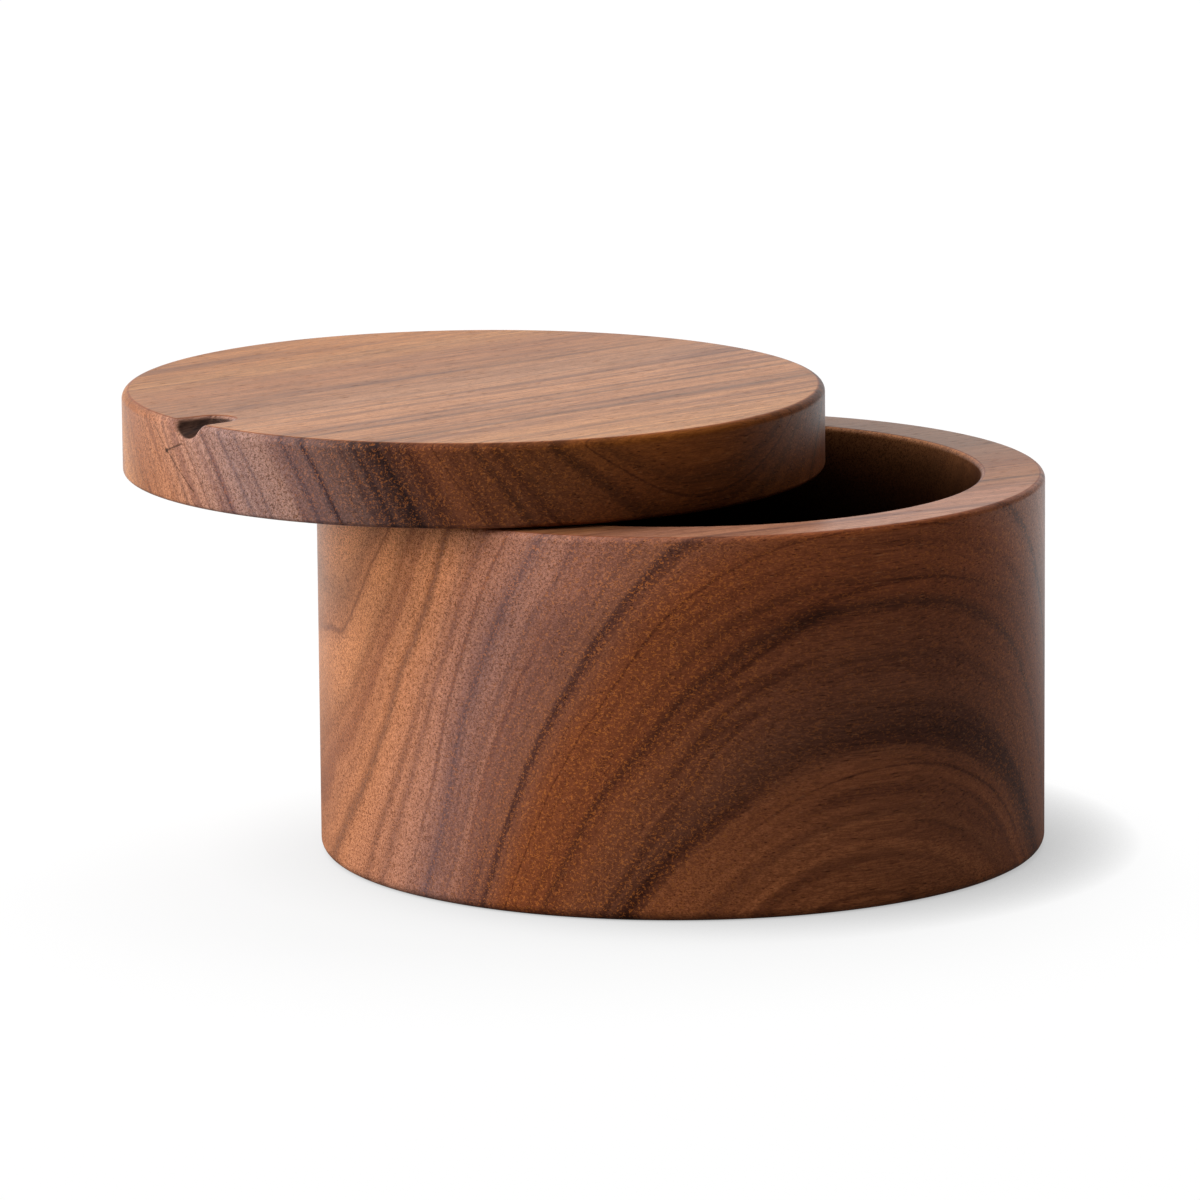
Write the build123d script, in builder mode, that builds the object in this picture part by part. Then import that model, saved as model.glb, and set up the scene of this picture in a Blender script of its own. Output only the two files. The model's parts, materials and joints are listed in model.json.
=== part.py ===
from build123d import *
import os
from math import cos, pi, radians, sin, sqrt, tan

os.makedirs("parts", exist_ok=True)

# Round wooden salt box with a lid that swivels sideways on one upright pivot.
# Millimetres. The origin is the centre of the base, +Z is up and -Y is the front.
# The lid is drawn part open, swung clockwise from its closed place over the body.

# Body: a tub turned from one block
body_radius = 60.0
body_height = 62.2
wall_thickness = 10.6
floor_thickness = 9.5
well_corner_radius = 8.0
base_bevel = 1.2
rim_outer_bevel = 0.7
rim_inner_bevel = 0.6

# Lid: a turned disc, smaller than the body by an even step all round when closed
lid_inset = 2.0
lid_thickness = 13.7
lid_top_edge_radius = 1.4
lid_under_bevel = 0.5

# Swivel: where the pivot stands and how far the lid is swung open about it
pivot_bearing = 101.5
lid_swing = 37.3

# Thumb notch: a round-nosed groove, ramped so that it is deepest at the lid's edge
notch_bearing = 255.5
notch_cutter_radius = 3.8
notch_edge_depth = 2.6
notch_run = 5.6
notch_ramp = 8.0
notch_softening = 0.8

# Pivot screw: M4 socket head
screw_radius = 2.0
screw_head_radius = 3.5
screw_head_height = 4.0
screw_head_chamfer = 0.4
screw_tip_chamfer = 0.5
screw_tip_overrun = 0.45
key_across_flats = 3.0
key_depth = 2.0

# Washers
flat_washer_radius = 4.0
flat_washer_thickness = 0.5
spring_washer_radius = 3.5
spring_washer_thickness = 1.2
spring_washer_slit = 0.8
spring_washer_slit_lean = 20.0
thrust_washer_radius = 3.5
thrust_washer_thickness = 0.4

# Insert: brass, ringed on the outside to grip the wood
insert_radius = 2.8
insert_length = 8.0
insert_ring_depth = 0.3
insert_ring_count = 2
insert_hole_spare_depth = 1.2

# Counterbore in the base and the clearances of the moving fit
counterbore_depth = 7.8
counterbore_clearance = 0.15
washer_hole_clearance = 0.15
pivot_running_clearance = 0.08
lid_running_gap = 0.05

# Sizes that follow from those above
well_radius = body_radius - wall_thickness
lid_radius = body_radius - lid_inset
lid_underside = body_height + thrust_washer_thickness + lid_running_gap
lid_top = lid_underside + lid_thickness
pivot_bore_radius = screw_radius + pivot_running_clearance
washer_hole_radius = screw_radius + washer_hole_clearance
counterbore_radius = flat_washer_radius + counterbore_clearance
insert_hole_depth = insert_length + insert_hole_spare_depth

# The pivot stands midway across the land where the rim and the closed lid overlap
pivot_radius = (well_radius + lid_radius) / 2
pivot_x = pivot_radius * cos(radians(pivot_bearing))
pivot_y = pivot_radius * sin(radians(pivot_bearing))
pivot_axis = Axis((pivot_x, pivot_y, 0), (0, 0, 1))

# The swung lid's centre: the body's axis carried round the pivot by the lid's swing
swung_bearing = pivot_bearing - lid_swing
lid_x = pivot_x - pivot_radius * cos(radians(swung_bearing))
lid_y = pivot_y - pivot_radius * sin(radians(swung_bearing))

# Heights of the stack under the shoulder of the counterbore, from the top down
spring_washer_top = counterbore_depth - flat_washer_thickness
screw_seat = spring_washer_top - spring_washer_thickness
screw_foot = screw_seat - screw_head_height

# The screw runs from its seat to just past the top of the insert
screw_tip = lid_underside + insert_length + screw_tip_overrun
screw_length = screw_tip - screw_seat


def upright(x, y, height):
    """Gives the level plane at a height whose origin stands at (x, y)."""
    return Plane(origin=(x, y, height), x_dir=(1, 0, 0), z_dir=(0, 0, 1))


def drilled_up(x, y, height):
    """Gives the location from which a hole feature drills upwards, starting at a height."""
    return Location(Plane(origin=(x, y, height), x_dir=(1, 0, 0), z_dir=(0, 0, -1)))


def upright_section(x, y, height):
    """Gives the upright plane through (x, y) on which a profile to revolve is drawn, from a height up."""
    return Plane(origin=(x, y, height), x_dir=(1, 0, 0), z_dir=(0, -1, 0))


def round_edge(turned, radius, height):
    """Finds the round edge that a turned piece has at a radius and a height."""
    circles = turned.edges().filter_by(GeomType.CIRCLE)
    level = circles.filter_by_position(Axis.Z, height - 0.001, height + 0.001)
    return level.filter_by(lambda edge: abs(edge.radius - radius) < 0.001)


def make_washer(outer_radius, thickness, height):
    """Makes a washer on the screw with its underside at a height."""
    with BuildPart() as washer:
        with BuildSketch(upright(pivot_x, pivot_y, height)):
            Circle(outer_radius)
            Circle(washer_hole_radius, mode=Mode.SUBTRACT)
        extrude(amount=thickness)
    return washer


# Body: a round block, bored out to a well with a rounded corner, its edges eased
with BuildPart() as body:
    with BuildSketch(upright(0, 0, 0)):
        Circle(body_radius)
    extrude(amount=body_height)
    with BuildSketch(upright(0, 0, floor_thickness)):
        Circle(well_radius)
    extrude(amount=body_height - floor_thickness, mode=Mode.SUBTRACT)
    fillet(round_edge(body, well_radius, floor_thickness), radius=well_corner_radius)
    chamfer(round_edge(body, well_radius, body_height), length=rim_inner_bevel)
    chamfer(round_edge(body, body_radius, body_height), length=rim_outer_bevel)
    chamfer(round_edge(body, body_radius, 0), length=base_bevel)

    # Hole for the pivot, up through the back wall, with a counterbore in the base
    with Locations(drilled_up(pivot_x, pivot_y, 0)):
        CounterBoreHole(
            radius=pivot_bore_radius,
            counter_bore_radius=counterbore_radius,
            counter_bore_depth=counterbore_depth,
        )
body.part.label = "body"
export_step(body.part, "parts/body.step")

# Lid: a round disc with eased edges, drawn about its own swung axis
with BuildPart() as lid:
    with BuildSketch(upright(lid_x, lid_y, lid_underside)):
        Circle(lid_radius)
    extrude(amount=lid_thickness)
    fillet(round_edge(lid, lid_radius, lid_top), radius=lid_top_edge_radius)
    chamfer(round_edge(lid, lid_radius, lid_underside), length=lid_under_bevel)

    # Thumb notch: the path of a round-nosed cutter, from outside the edge to the end of its run
    notch_swung = radians(notch_bearing - lid_swing)
    notch_end_radius = lid_radius - notch_run
    nose_height = lid_top + notch_cutter_radius - notch_edge_depth + notch_run * tan(radians(notch_ramp))
    notch_end = Plane(
        origin=(
            lid_x + notch_end_radius * cos(notch_swung),
            lid_y + notch_end_radius * sin(notch_swung),
            nose_height,
        ),
        x_dir=(-sin(notch_swung), cos(notch_swung), 0),
        z_dir=(cos(notch_swung), sin(notch_swung), -tan(radians(notch_ramp))),
    )
    with Locations(notch_end):
        Sphere(notch_cutter_radius, mode=Mode.SUBTRACT)
    with BuildSketch(notch_end):
        Circle(notch_cutter_radius)
    extrude(amount=notch_run * 3, mode=Mode.SUBTRACT)
    # Its rim is softened all round: the edges that the cutter left, without the seam inside the groove
    cut_edges = lid.edges(Select.LAST)
    on_top = cut_edges.filter_by_position(Axis.Z, lid_top - 0.001, lid_top + 0.001)
    notch_mouth = cut_edges.filter_by(GeomType.BSPLINE)
    notch_outline = on_top.filter_by(lambda edge: edge.length < 2 * pi * notch_cutter_radius)
    fillet(notch_mouth + notch_outline, radius=notch_softening)

    # Blind hole in the underside that takes the insert
    with Locations(drilled_up(pivot_x, pivot_y, lid_underside)):
        Hole(radius=insert_radius, depth=insert_hole_depth)
lid.part.label = "lid"
export_step(lid.part, "parts/lid.step")

# Insert: a brass barrel, flush with the lid's underside, with V rings that bite into the wood
with BuildPart() as lid_insert:
    with BuildSketch(upright_section(pivot_x, pivot_y, lid_underside)):
        with Locations(((screw_radius + insert_radius) / 2, insert_length / 2)):
            Rectangle(insert_radius - screw_radius, insert_length)
        ring_pitch = insert_length / insert_ring_count
        for ring in range(insert_ring_count):
            with Locations((insert_radius, (ring + 0.5) * ring_pitch)):
                Rectangle(
                    insert_ring_depth * sqrt(2),
                    insert_ring_depth * sqrt(2),
                    rotation=45,
                    mode=Mode.SUBTRACT,
                )
    revolve(axis=pivot_axis)
lid_insert.part.label = "lid_insert"
export_step(lid_insert.part, "parts/lid_insert.step")

# Screw: head down in the counterbore, plain shank up through the wall, its end in the insert
with BuildPart() as pivot_screw:
    with BuildSketch(upright(pivot_x, pivot_y, screw_foot)):
        Circle(screw_head_radius)
    extrude(amount=screw_head_height)
    with BuildSketch(upright(pivot_x, pivot_y, screw_seat)):
        Circle(screw_radius)
    extrude(amount=screw_length)
    chamfer(round_edge(pivot_screw, screw_head_radius, screw_foot), length=screw_head_chamfer)
    chamfer(round_edge(pivot_screw, screw_radius, screw_tip), length=screw_tip_chamfer)
    with BuildSketch(upright(pivot_x, pivot_y, screw_foot)):
        RegularPolygon(radius=key_across_flats / 2, side_count=6, major_radius=False)
    extrude(amount=key_depth, mode=Mode.SUBTRACT)
pivot_screw.part.label = "pivot_screw"
export_step(pivot_screw.part, "parts/pivot_screw.step")

# Washers: one on the rim under the lid, one on the shoulder of the counterbore
thrust_washer = make_washer(thrust_washer_radius, thrust_washer_thickness, body_height)
thrust_washer.part.label = "thrust_washer"
export_step(thrust_washer.part, "parts/thrust_washer.step")

flat_washer = make_washer(flat_washer_radius, flat_washer_thickness, spring_washer_top)
flat_washer.part.label = "flat_washer"
export_step(flat_washer.part, "parts/flat_washer.step")

# Spring washer: a ring split by a leaning slit, pressed flat under the screw's head
with BuildPart() as spring_washer:
    add(make_washer(spring_washer_radius, spring_washer_thickness, screw_seat).part)
    slit_centre = (pivot_x + spring_washer_radius, pivot_y, screw_seat + spring_washer_thickness / 2)
    with Locations(Location(slit_centre, (spring_washer_slit_lean, 0, 0))):
        Box(
            2 * spring_washer_radius,
            spring_washer_slit,
            4 * spring_washer_thickness,
            mode=Mode.SUBTRACT,
        )
spring_washer.part.label = "spring_washer"
export_step(spring_washer.part, "parts/spring_washer.step")
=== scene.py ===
"""Dresses the round salt box: two oiled woods, the metal of its pivot, and a plain studio round them."""

import json
import logging
import math
from collections.abc import Callable, Mapping, Sequence
from dataclasses import dataclass, field, replace
from enum import Enum

import bmesh
import bpy
from mathutils import Matrix, Vector

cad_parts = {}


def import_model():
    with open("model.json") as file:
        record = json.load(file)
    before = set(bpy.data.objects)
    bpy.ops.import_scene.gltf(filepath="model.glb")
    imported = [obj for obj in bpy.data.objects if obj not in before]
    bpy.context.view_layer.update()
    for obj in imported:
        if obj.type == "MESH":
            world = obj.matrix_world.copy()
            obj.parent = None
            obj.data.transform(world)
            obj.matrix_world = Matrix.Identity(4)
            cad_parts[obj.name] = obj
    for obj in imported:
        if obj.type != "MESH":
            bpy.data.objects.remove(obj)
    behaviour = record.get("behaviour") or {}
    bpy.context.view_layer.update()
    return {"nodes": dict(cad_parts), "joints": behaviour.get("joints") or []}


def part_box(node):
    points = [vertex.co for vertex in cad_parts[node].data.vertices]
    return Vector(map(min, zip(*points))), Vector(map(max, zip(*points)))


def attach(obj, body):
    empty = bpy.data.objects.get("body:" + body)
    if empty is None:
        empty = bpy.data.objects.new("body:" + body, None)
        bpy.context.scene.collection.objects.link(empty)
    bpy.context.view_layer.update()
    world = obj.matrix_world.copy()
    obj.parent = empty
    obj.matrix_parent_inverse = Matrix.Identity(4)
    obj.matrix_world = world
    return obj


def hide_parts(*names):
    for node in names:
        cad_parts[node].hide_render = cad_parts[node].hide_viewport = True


log = logging.getLogger("salt_box")

MM = 0.001
# The mesh attribute that holds how much painted shade a vertex takes inside the well and the thumb notch
RECESS_SHADE = "recess"

# How far inside the arc that ends it a flat face's outline starts
EDGE_SEAT = 0.1 * MM
HOLE_SIDES = 72

Colour = tuple[float, float, float]
Socket = bpy.types.NodeSocket
Signal = Socket | float | Colour | Vector


class Body(Enum):
    """The bodies that the box moves as."""

    BASE = "base"
    LID = "lid"


class Op(Enum):
    """What a Math node does."""

    ADD = "ADD"
    SUBTRACT = "SUBTRACT"
    MULTIPLY = "MULTIPLY"
    DIVIDE = "DIVIDE"
    POWER = "POWER"
    ABSOLUTE = "ABSOLUTE"
    SMOOTH_MINIMUM = "SMOOTH_MIN"
    MAXIMUM = "MAXIMUM"


class VectorOp(Enum):
    """What a Vector Math node does."""

    SUBTRACT = "SUBTRACT"
    MULTIPLY = "MULTIPLY"
    DOT_PRODUCT = "DOT_PRODUCT"
    LENGTH = "LENGTH"


class Mixing(Enum):
    """How a colour is laid over another."""

    MIX = "MIX"
    MULTIPLY = "MULTIPLY"
    SCREEN = "SCREEN"


class Kind(Enum):
    """What a group's socket carries."""

    VALUE = "NodeSocketFloat"
    VECTOR = "NodeSocketVector"


@dataclass(frozen=True)
class Port:
    """One named input or output of a node group.

    Args:
        name: The socket's name.
        kind: What it carries.
        value: Its value where nothing is linked.
    """

    name: str
    kind: Kind = Kind.VALUE
    value: float | None = None


@dataclass
class Graph:
    """A node tree, with short ways to add nodes to it and join them.

    Args:
        tree: The node tree that it works on.
    """

    tree: bpy.types.NodeTree

    def node(self, kind: str, **settings: object) -> bpy.types.Node:
        """Adds a node.

        Args:
            kind: The node's type, without its ShaderNode prefix.
            **settings: Properties of the node.

        Returns:
            The new node.
        """
        made = self.tree.nodes.new(kind if kind.startswith("NodeGroup") else "ShaderNode" + kind)
        for name, value in settings.items():
            setattr(made, name, value)
        return made

    def join(self, source: Signal, target: Socket) -> None:
        """Links a socket to another, or sets the other's own value.

        Args:
            source: A socket, or a plain value.
            target: The input that takes it.
        """
        if isinstance(source, bpy.types.NodeSocket):
            self.tree.links.new(source, target)
        elif target.type == "RGBA":
            target.default_value = (*source, 1.0)
        else:
            target.default_value = source

    def math(
        self,
        op: Op,
        first: Signal,
        second: Signal = 0.0,
        third: Signal = 0.0,
        clamp: bool = False,
    ) -> Socket:
        """Works out one number from up to three.

        Args:
            op: What is done.
            first: The first number.
            second: The second number, where the operation has one.
            third: The third number, where the operation has one.
            clamp: Whether the result is kept from 0 to 1.

        Returns:
            The result's socket.
        """
        made = self.node("Math", operation=op.value, use_clamp=clamp)
        self.join(first, made.inputs[0])
        self.join(second, made.inputs[1])
        self.join(third, made.inputs[2])
        return made.outputs[0]

    def product(self, *factors: Signal) -> Socket:
        """Multiplies numbers together.

        Args:
            *factors: The numbers, two or more.

        Returns:
            The product's socket.
        """
        result, *others = factors
        for factor in others:
            result = self.math(Op.MULTIPLY, result, factor)
        return result

    def swing(self, value: Signal, by: Signal) -> Socket:
        """Makes a number from 0 to 1 swing to both sides of 0.

        Args:
            value: The number.
            by: How far apart its two ends come to lie.

        Returns:
            The swinging number's socket.
        """
        return self.product(self.math(Op.SUBTRACT, value, 0.5), by)

    def spread(
        self,
        value: Signal,
        low: Signal,
        high: Signal,
        to_low: float = 0.0,
        to_high: float = 1.0,
    ) -> Socket:
        """Maps a range of numbers smoothly on another, and holds its ends.

        Args:
            value: The number to map.
            low: Where the range starts.
            high: Where it ends.
            to_low: What its start becomes.
            to_high: What its end becomes.

        Returns:
            The mapped number's socket.
        """
        made = self.node("MapRange", interpolation_type="SMOOTHSTEP")
        for place, number in enumerate((value, low, high, to_low, to_high)):
            self.join(number, made.inputs[place])
        return made.outputs[0]

    def vector(self, x: Signal, y: Signal, z: Signal) -> Socket:
        """Joins three numbers into a vector.

        Args:
            x: The first number.
            y: The second number.
            z: The third number.

        Returns:
            The vector's socket.
        """
        made = self.node("CombineXYZ")
        for place, number in enumerate((x, y, z)):
            self.join(number, made.inputs[place])
        return made.outputs[0]

    def parts(self, vector: Signal) -> tuple[Socket, Socket, Socket]:
        """Splits a vector.

        Args:
            vector: The vector.

        Returns:
            The sockets of its three numbers.
        """
        made = self.node("SeparateXYZ")
        self.join(vector, made.inputs[0])
        return made.outputs[0], made.outputs[1], made.outputs[2]

    def vector_math(self, op: VectorOp, first: Signal, second: Signal = (0.0, 0.0, 0.0)) -> Socket:
        """Works out a vector or a number from one or two vectors.

        Args:
            op: What is done.
            first: The first vector.
            second: The second vector, where the operation has one.

        Returns:
            The result's socket.
        """
        made = self.node("VectorMath", operation=op.value)
        self.join(first, made.inputs[0])
        self.join(second, made.inputs[1])
        gives_number = op in (VectorOp.DOT_PRODUCT, VectorOp.LENGTH)
        return made.outputs["Value" if gives_number else "Vector"]

    def stretched(self, vector: Signal, by: tuple[float, float, float]) -> Socket:
        """Multiplies a vector by three fixed numbers, one for each axis."""
        return self.vector_math(VectorOp.MULTIPLY, vector, by)

    def scaled(self, vector: Signal, by: Signal) -> Socket:
        """Multiplies a vector by one number.

        Args:
            vector: The vector.
            by: The number.

        Returns:
            The scaled vector's socket.
        """
        made = self.node("VectorMath", operation="SCALE")
        self.join(vector, made.inputs[0])
        self.join(by, made.inputs["Scale"])
        return made.outputs[0]

    def turned(self, vector: Signal, bearing: Signal) -> Socket:
        """Turns a vector back by a bearing, about the upright axis.

        Args:
            vector: The vector.
            bearing: The bearing, in degrees.

        Returns:
            The turned vector's socket.
        """
        made = self.node("VectorRotate", rotation_type="Z_AXIS")
        self.join(vector, made.inputs["Vector"])
        self.join(self.product(bearing, -math.pi / 180), made.inputs["Angle"])
        return made.outputs[0]

    def noise(self, vector: Signal, scale: Signal, detail: float = 2.0, rough: float = 0.5) -> Socket:
        """Adds a noise texture.

        Args:
            vector: Where it is read.
            scale: How fine it is.
            detail: How many finer layers it has.
            rough: How strong those layers are.

        Returns:
            The socket of its value, from 0 to 1.
        """
        made = self.node("TexNoise")
        for name, value in (("Vector", vector), ("Scale", scale), ("Detail", detail), ("Roughness", rough)):
            self.join(value, made.inputs[name])
        return made.outputs["Fac"]

    def winding(self, vector: Signal, detail: float) -> Socket:
        """Draws winding lines, where a noise crosses its middle.

        Args:
            vector: Where it is read.
            detail: How many finer layers the noise has.

        Returns:
            The socket of how far off the lines a place is, 0 on them and 0.5 at most.
        """
        off_middle = self.math(Op.SUBTRACT, self.noise(vector, 1.0, detail=detail), 0.5)
        return self.math(Op.ABSOLUTE, off_middle)

    def blend(self, how: Mixing, amount: Signal, under: Signal, over: Signal) -> Socket:
        """Lays a colour over another.

        Args:
            how: How they are mixed.
            amount: How much of the upper one shows.
            under: The lower colour.
            over: The upper colour.

        Returns:
            The mixed colour's socket.
        """
        made = self.node("Mix", data_type="RGBA", blend_type=how.value)
        self.join(amount, made.inputs["Factor"])
        self.join(under, made.inputs[6])
        self.join(over, made.inputs[7])
        return made.outputs[2]

    def ramp(self, value: Signal, stops: Sequence[tuple[float, Colour]]) -> Socket:
        """Colours a number.

        Args:
            value: The number, from 0 to 1.
            stops: Places from 0 to 1 with their colours, in order.

        Returns:
            The colour's socket.
        """
        made = self.node("ValToRGB")
        self.join(value, made.inputs[0])
        elements = made.color_ramp.elements
        while len(elements) < len(stops):
            elements.new(0.5)
        for element, (place, colour) in zip(elements, stops):
            element.position = place
            element.color = (*colour, 1.0)
        return made.outputs[0]

    def place(self, group: bpy.types.NodeTree, **values: Signal) -> Mapping[str, Socket]:
        """Puts a node group in this tree.

        Args:
            group: The group.
            **values: Its inputs by name, with an underscore for a space.

        Returns:
            Its outputs by name.
        """
        made = self.node("Group", node_tree=group)
        for name, value in values.items():
            self.join(value, made.inputs[name.replace("_", " ")])
        return made.outputs

    def relief(self, height: Signal, strength: float, depth: float, shader: bpy.types.Node) -> None:
        """Gives a surface fine bumps.

        Args:
            height: How far it stands up.
            strength: How strongly the bumps show.
            depth: How deep they are.
            shader: The surface's shader.
        """
        bump = self.node("Bump")
        self.join(strength, bump.inputs["Strength"])
        self.join(depth, bump.inputs["Distance"])
        self.join(height, bump.inputs["Height"])
        self.join(bump.outputs[0], shader.inputs["Normal"])


def new_material(name: str) -> tuple[bpy.types.Material, Graph, bpy.types.Node]:
    """Starts a material.

    Args:
        name: The material's name.

    Returns:
        The material, its graph and its surface shader.
    """
    made = bpy.data.materials.new(name)
    made.use_nodes = True
    return made, Graph(made.node_tree), made.node_tree.nodes["Principled BSDF"]


def new_group(name: str, inputs: Sequence[Port], outputs: Sequence[Port]) -> tuple[Graph, Mapping, Mapping]:
    """Starts a shader node group.

    Args:
        name: The group's name.
        inputs: Its inputs.
        outputs: Its outputs.

    Returns:
        Its graph, the sockets that bring its inputs in, and the sockets that take its outputs out.
    """
    tree = bpy.data.node_groups.new(name, "ShaderNodeTree")
    for ports, way in ((inputs, "INPUT"), (outputs, "OUTPUT")):
        for port in ports:
            made = tree.interface.new_socket(port.name, in_out=way, socket_type=port.kind.value)
            if port.value is not None:
                made.default_value = port.value
    graph = Graph(tree)
    return graph, graph.node("NodeGroupInput").outputs, graph.node("NodeGroupOutput").inputs


# The height at which a leaning log's heart lies as far across as stated, in millimetres
LEAN_MIDDLE = 30.0
# How the rings spread past the flare's start: the power, and how softly its reach ends it
FLARE_POWER = 1.5
FLARE_EASING = 0.3
# Farther than anything in the box, in millimetres
NO_LIMIT = 1000.0
# How the rings wander: how fine the slow and the quick drift are, and how far they carry, in millimetres
SLOW_DRIFT_SCALE, SLOW_DRIFT = 0.035, 3.0
QUICK_DRIFT_SCALE, QUICK_DRIFT = 0.11, 0.6


def build_log_axes() -> bpy.types.NodeTree:
    """Makes the group that reads a place in a solid as a place in the log that it was cut from.

    Returns:
        The group. It gives the place along, across and up the log in millimetres, and the distance from the
        log's heart, which wanders as real growth does.
    """
    graph, inputs, outputs = new_group(
        "log_axes",
        (
            Port("Position", Kind.VECTOR),
            Port("Fibre Bearing"),
            Port("Heart Across"),
            Port("Heart Height"),
            Port("Wander", value=1.0),
            Port("Flare Start"),
            Port("Flare"),
            Port("Flare Reach", value=NO_LIMIT),
            Port("Lean"),
            Port("Curl"),
            Port("Squash", value=1.0),
        ),
        (Port("Grain", Kind.VECTOR), Port("Ring")),
    )
    to_millimetres = graph.stretched(inputs["Position"], (1 / MM, 1 / MM, 1 / MM))
    grain = graph.stretched(graph.turned(to_millimetres, inputs["Fibre Bearing"]), (1.0, -1.0, 1.0))
    _, across, up = graph.parts(grain)
    slow = graph.noise(graph.stretched(grain, (0.3, 1.0, 1.0)), SLOW_DRIFT_SCALE, detail=1.5)
    quick = graph.noise(graph.stretched(grain, (0.2, 1.0, 1.0)), QUICK_DRIFT_SCALE, detail=2.0)
    wander = graph.math(Op.ADD, graph.swing(slow, SLOW_DRIFT), graph.swing(quick, QUICK_DRIFT))
    above = graph.math(Op.SUBTRACT, up, LEAN_MIDDLE)
    leaning, curling = graph.product(above, inputs["Lean"]), graph.product(above, above, inputs["Curl"])
    bent = graph.math(Op.ADD, leaning, curling)
    offset = graph.vector(
        0.0,
        graph.math(Op.SUBTRACT, graph.math(Op.ADD, across, bent), inputs["Heart Across"]),
        graph.product(graph.math(Op.SUBTRACT, up, inputs["Heart Height"]), inputs["Squash"]),
    )
    past_flare = graph.math(Op.MAXIMUM, graph.math(Op.SUBTRACT, inputs["Flare Start"], across), 0.0)
    easing = graph.product(inputs["Flare Reach"], FLARE_EASING)
    past_flare = graph.math(Op.SMOOTH_MINIMUM, past_flare, inputs["Flare Reach"], easing)
    flare = graph.product(graph.math(Op.POWER, past_flare, FLARE_POWER), inputs["Flare"])
    ring = graph.math(Op.SUBTRACT, graph.vector_math(VectorOp.LENGTH, offset), flare)
    graph.join(grain, outputs["Grain"])
    graph.join(graph.math(Op.ADD, ring, graph.product(wander, inputs["Wander"])), outputs["Ring"])
    return graph.tree


# Growth lines: how slowly they change along the log, how thin they are and where they break off
LINE_SCALE = 0.006
LINE_EDGE = (0.004, 0.025)
LINE_BREAKS = (0.4, 0.55)


def build_streaks() -> bpy.types.NodeTree:
    """Makes the group of the stripes that follow the growth rings.

    Returns:
        The group. It gives broad, narrow and fine stripes, each from 0 to 1 about a middle of 0.5, and a
        mask of thin dark growth lines.
    """
    graph, inputs, outputs = new_group(
        "streaks",
        (
            Port("Grain", Kind.VECTOR),
            Port("Ring"),
            Port("Broad Width", value=9.0),
            Port("Narrow Width", value=2.6),
            Port("Fine Width", value=0.8),
            Port("Line Spacing", value=4.0),
        ),
        (Port("Broad"), Port("Narrow"), Port("Fine"), Port("Lines")),
    )
    along, across, up = graph.parts(inputs["Grain"])
    round_the_heart = graph.math(Op.SUBTRACT, across, up)

    def ribbons(width: Socket, along_scale: float, round_scale: float) -> Socket:
        """Gives places that change from ring to ring, and slowly along the log and round its heart."""
        return graph.vector(
            graph.math(Op.DIVIDE, inputs["Ring"], width),
            graph.product(along, along_scale),
            graph.product(round_the_heart, round_scale),
        )

    for name, along_scale, round_scale, detail in (
        ("Broad", 0.01, 0.01, 1.5),
        ("Narrow", 0.015, 0.013, 1.5),
        ("Fine", 0.025, 0.025, 2.0),
    ):
        stripes = ribbons(inputs[name + " Width"], along_scale, round_scale)
        graph.join(graph.noise(stripes, 1.0, detail=detail), outputs[name])
    growth = ribbons(inputs["Line Spacing"], LINE_SCALE, LINE_SCALE)
    line = graph.spread(graph.winding(growth, 1.0), *LINE_EDGE, 1.0, 0.0)
    patches = graph.noise(graph.stretched(growth, (0.6, 3.0, 3.0)), 1.0, detail=1.0)
    graph.join(graph.product(line, graph.spread(patches, *LINE_BREAKS)), outputs["Lines"])
    return graph.tree


def along_fibres(graph: Graph, grain: Signal, length: Signal, width: Signal, offset: float = 0.0) -> Socket:
    """Measures a place by the length and the width of marks that lie along the fibres.

    Args:
        graph: The group's graph.
        grain: The place in the log.
        length: Length of a mark.
        width: Width of a mark.
        offset: How many lengths off it is read, so that two kinds of mark don't fall together.

    Returns:
        The socket of the measured place.
    """
    along, across, up = graph.parts(grain)
    return graph.vector(
        graph.math(Op.ADD, graph.math(Op.DIVIDE, along, length), offset),
        graph.math(Op.DIVIDE, across, width),
        graph.math(Op.DIVIDE, up, width),
    )


def build_fibres() -> bpy.types.NodeTree:
    """Makes the group of the fine fibres that run along the grain.

    Returns:
        The group. It gives their tone, from 0 to 1.
    """
    graph, inputs, outputs = new_group(
        "fibres",
        (Port("Grain", Kind.VECTOR), Port("Width", value=0.3), Port("Length", value=9.0)),
        (Port("Tone"),),
    )
    place = along_fibres(graph, inputs["Grain"], inputs["Length"], inputs["Width"])
    graph.join(graph.noise(place, 0.7, detail=2.5, rough=0.55), outputs["Tone"])
    return graph.tree


# Flecks: how thin they are, and how softly a patch of them ends
FLECK_EDGE = (0.05, 0.11)
FLECK_PATCH_EASING = 0.08


def build_flecks() -> bpy.types.NodeTree:
    """Makes the group of the short winding flecks that cut fibres leave.

    Returns:
        The group. It gives a mask of dark flecks, and one of bright flecks, painted glints, that lie between
        them.
    """
    graph, inputs, outputs = new_group(
        "flecks",
        (Port("Grain", Kind.VECTOR), Port("Width", value=0.3), Port("Length", value=0.75)),
        (Port("Dark"), Port("Bright")),
    )
    for name, offset, sparse in (("Dark", 0.0, 0.44), ("Bright", 53.0, 0.49)):
        place = along_fibres(graph, inputs["Grain"], inputs["Length"], inputs["Width"], offset)
        line = graph.spread(graph.winding(place, 0.0), *FLECK_EDGE, 1.0, 0.0)
        patches = graph.noise(graph.stretched(place, (1.0, 0.8, 0.8)), 0.9, detail=1.0)
        broken = graph.spread(patches, sparse, sparse + FLECK_PATCH_EASING)
        graph.join(graph.product(line, broken), outputs[name])
    return graph.tree


# Hairlines: how finely and how far their edges wind, and how much of their width is fully dark
RAGGED_SCALE = 2200.0
RAGGED_BY = 0.35 * MM
HAIRLINE_CORE = 0.3


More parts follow.
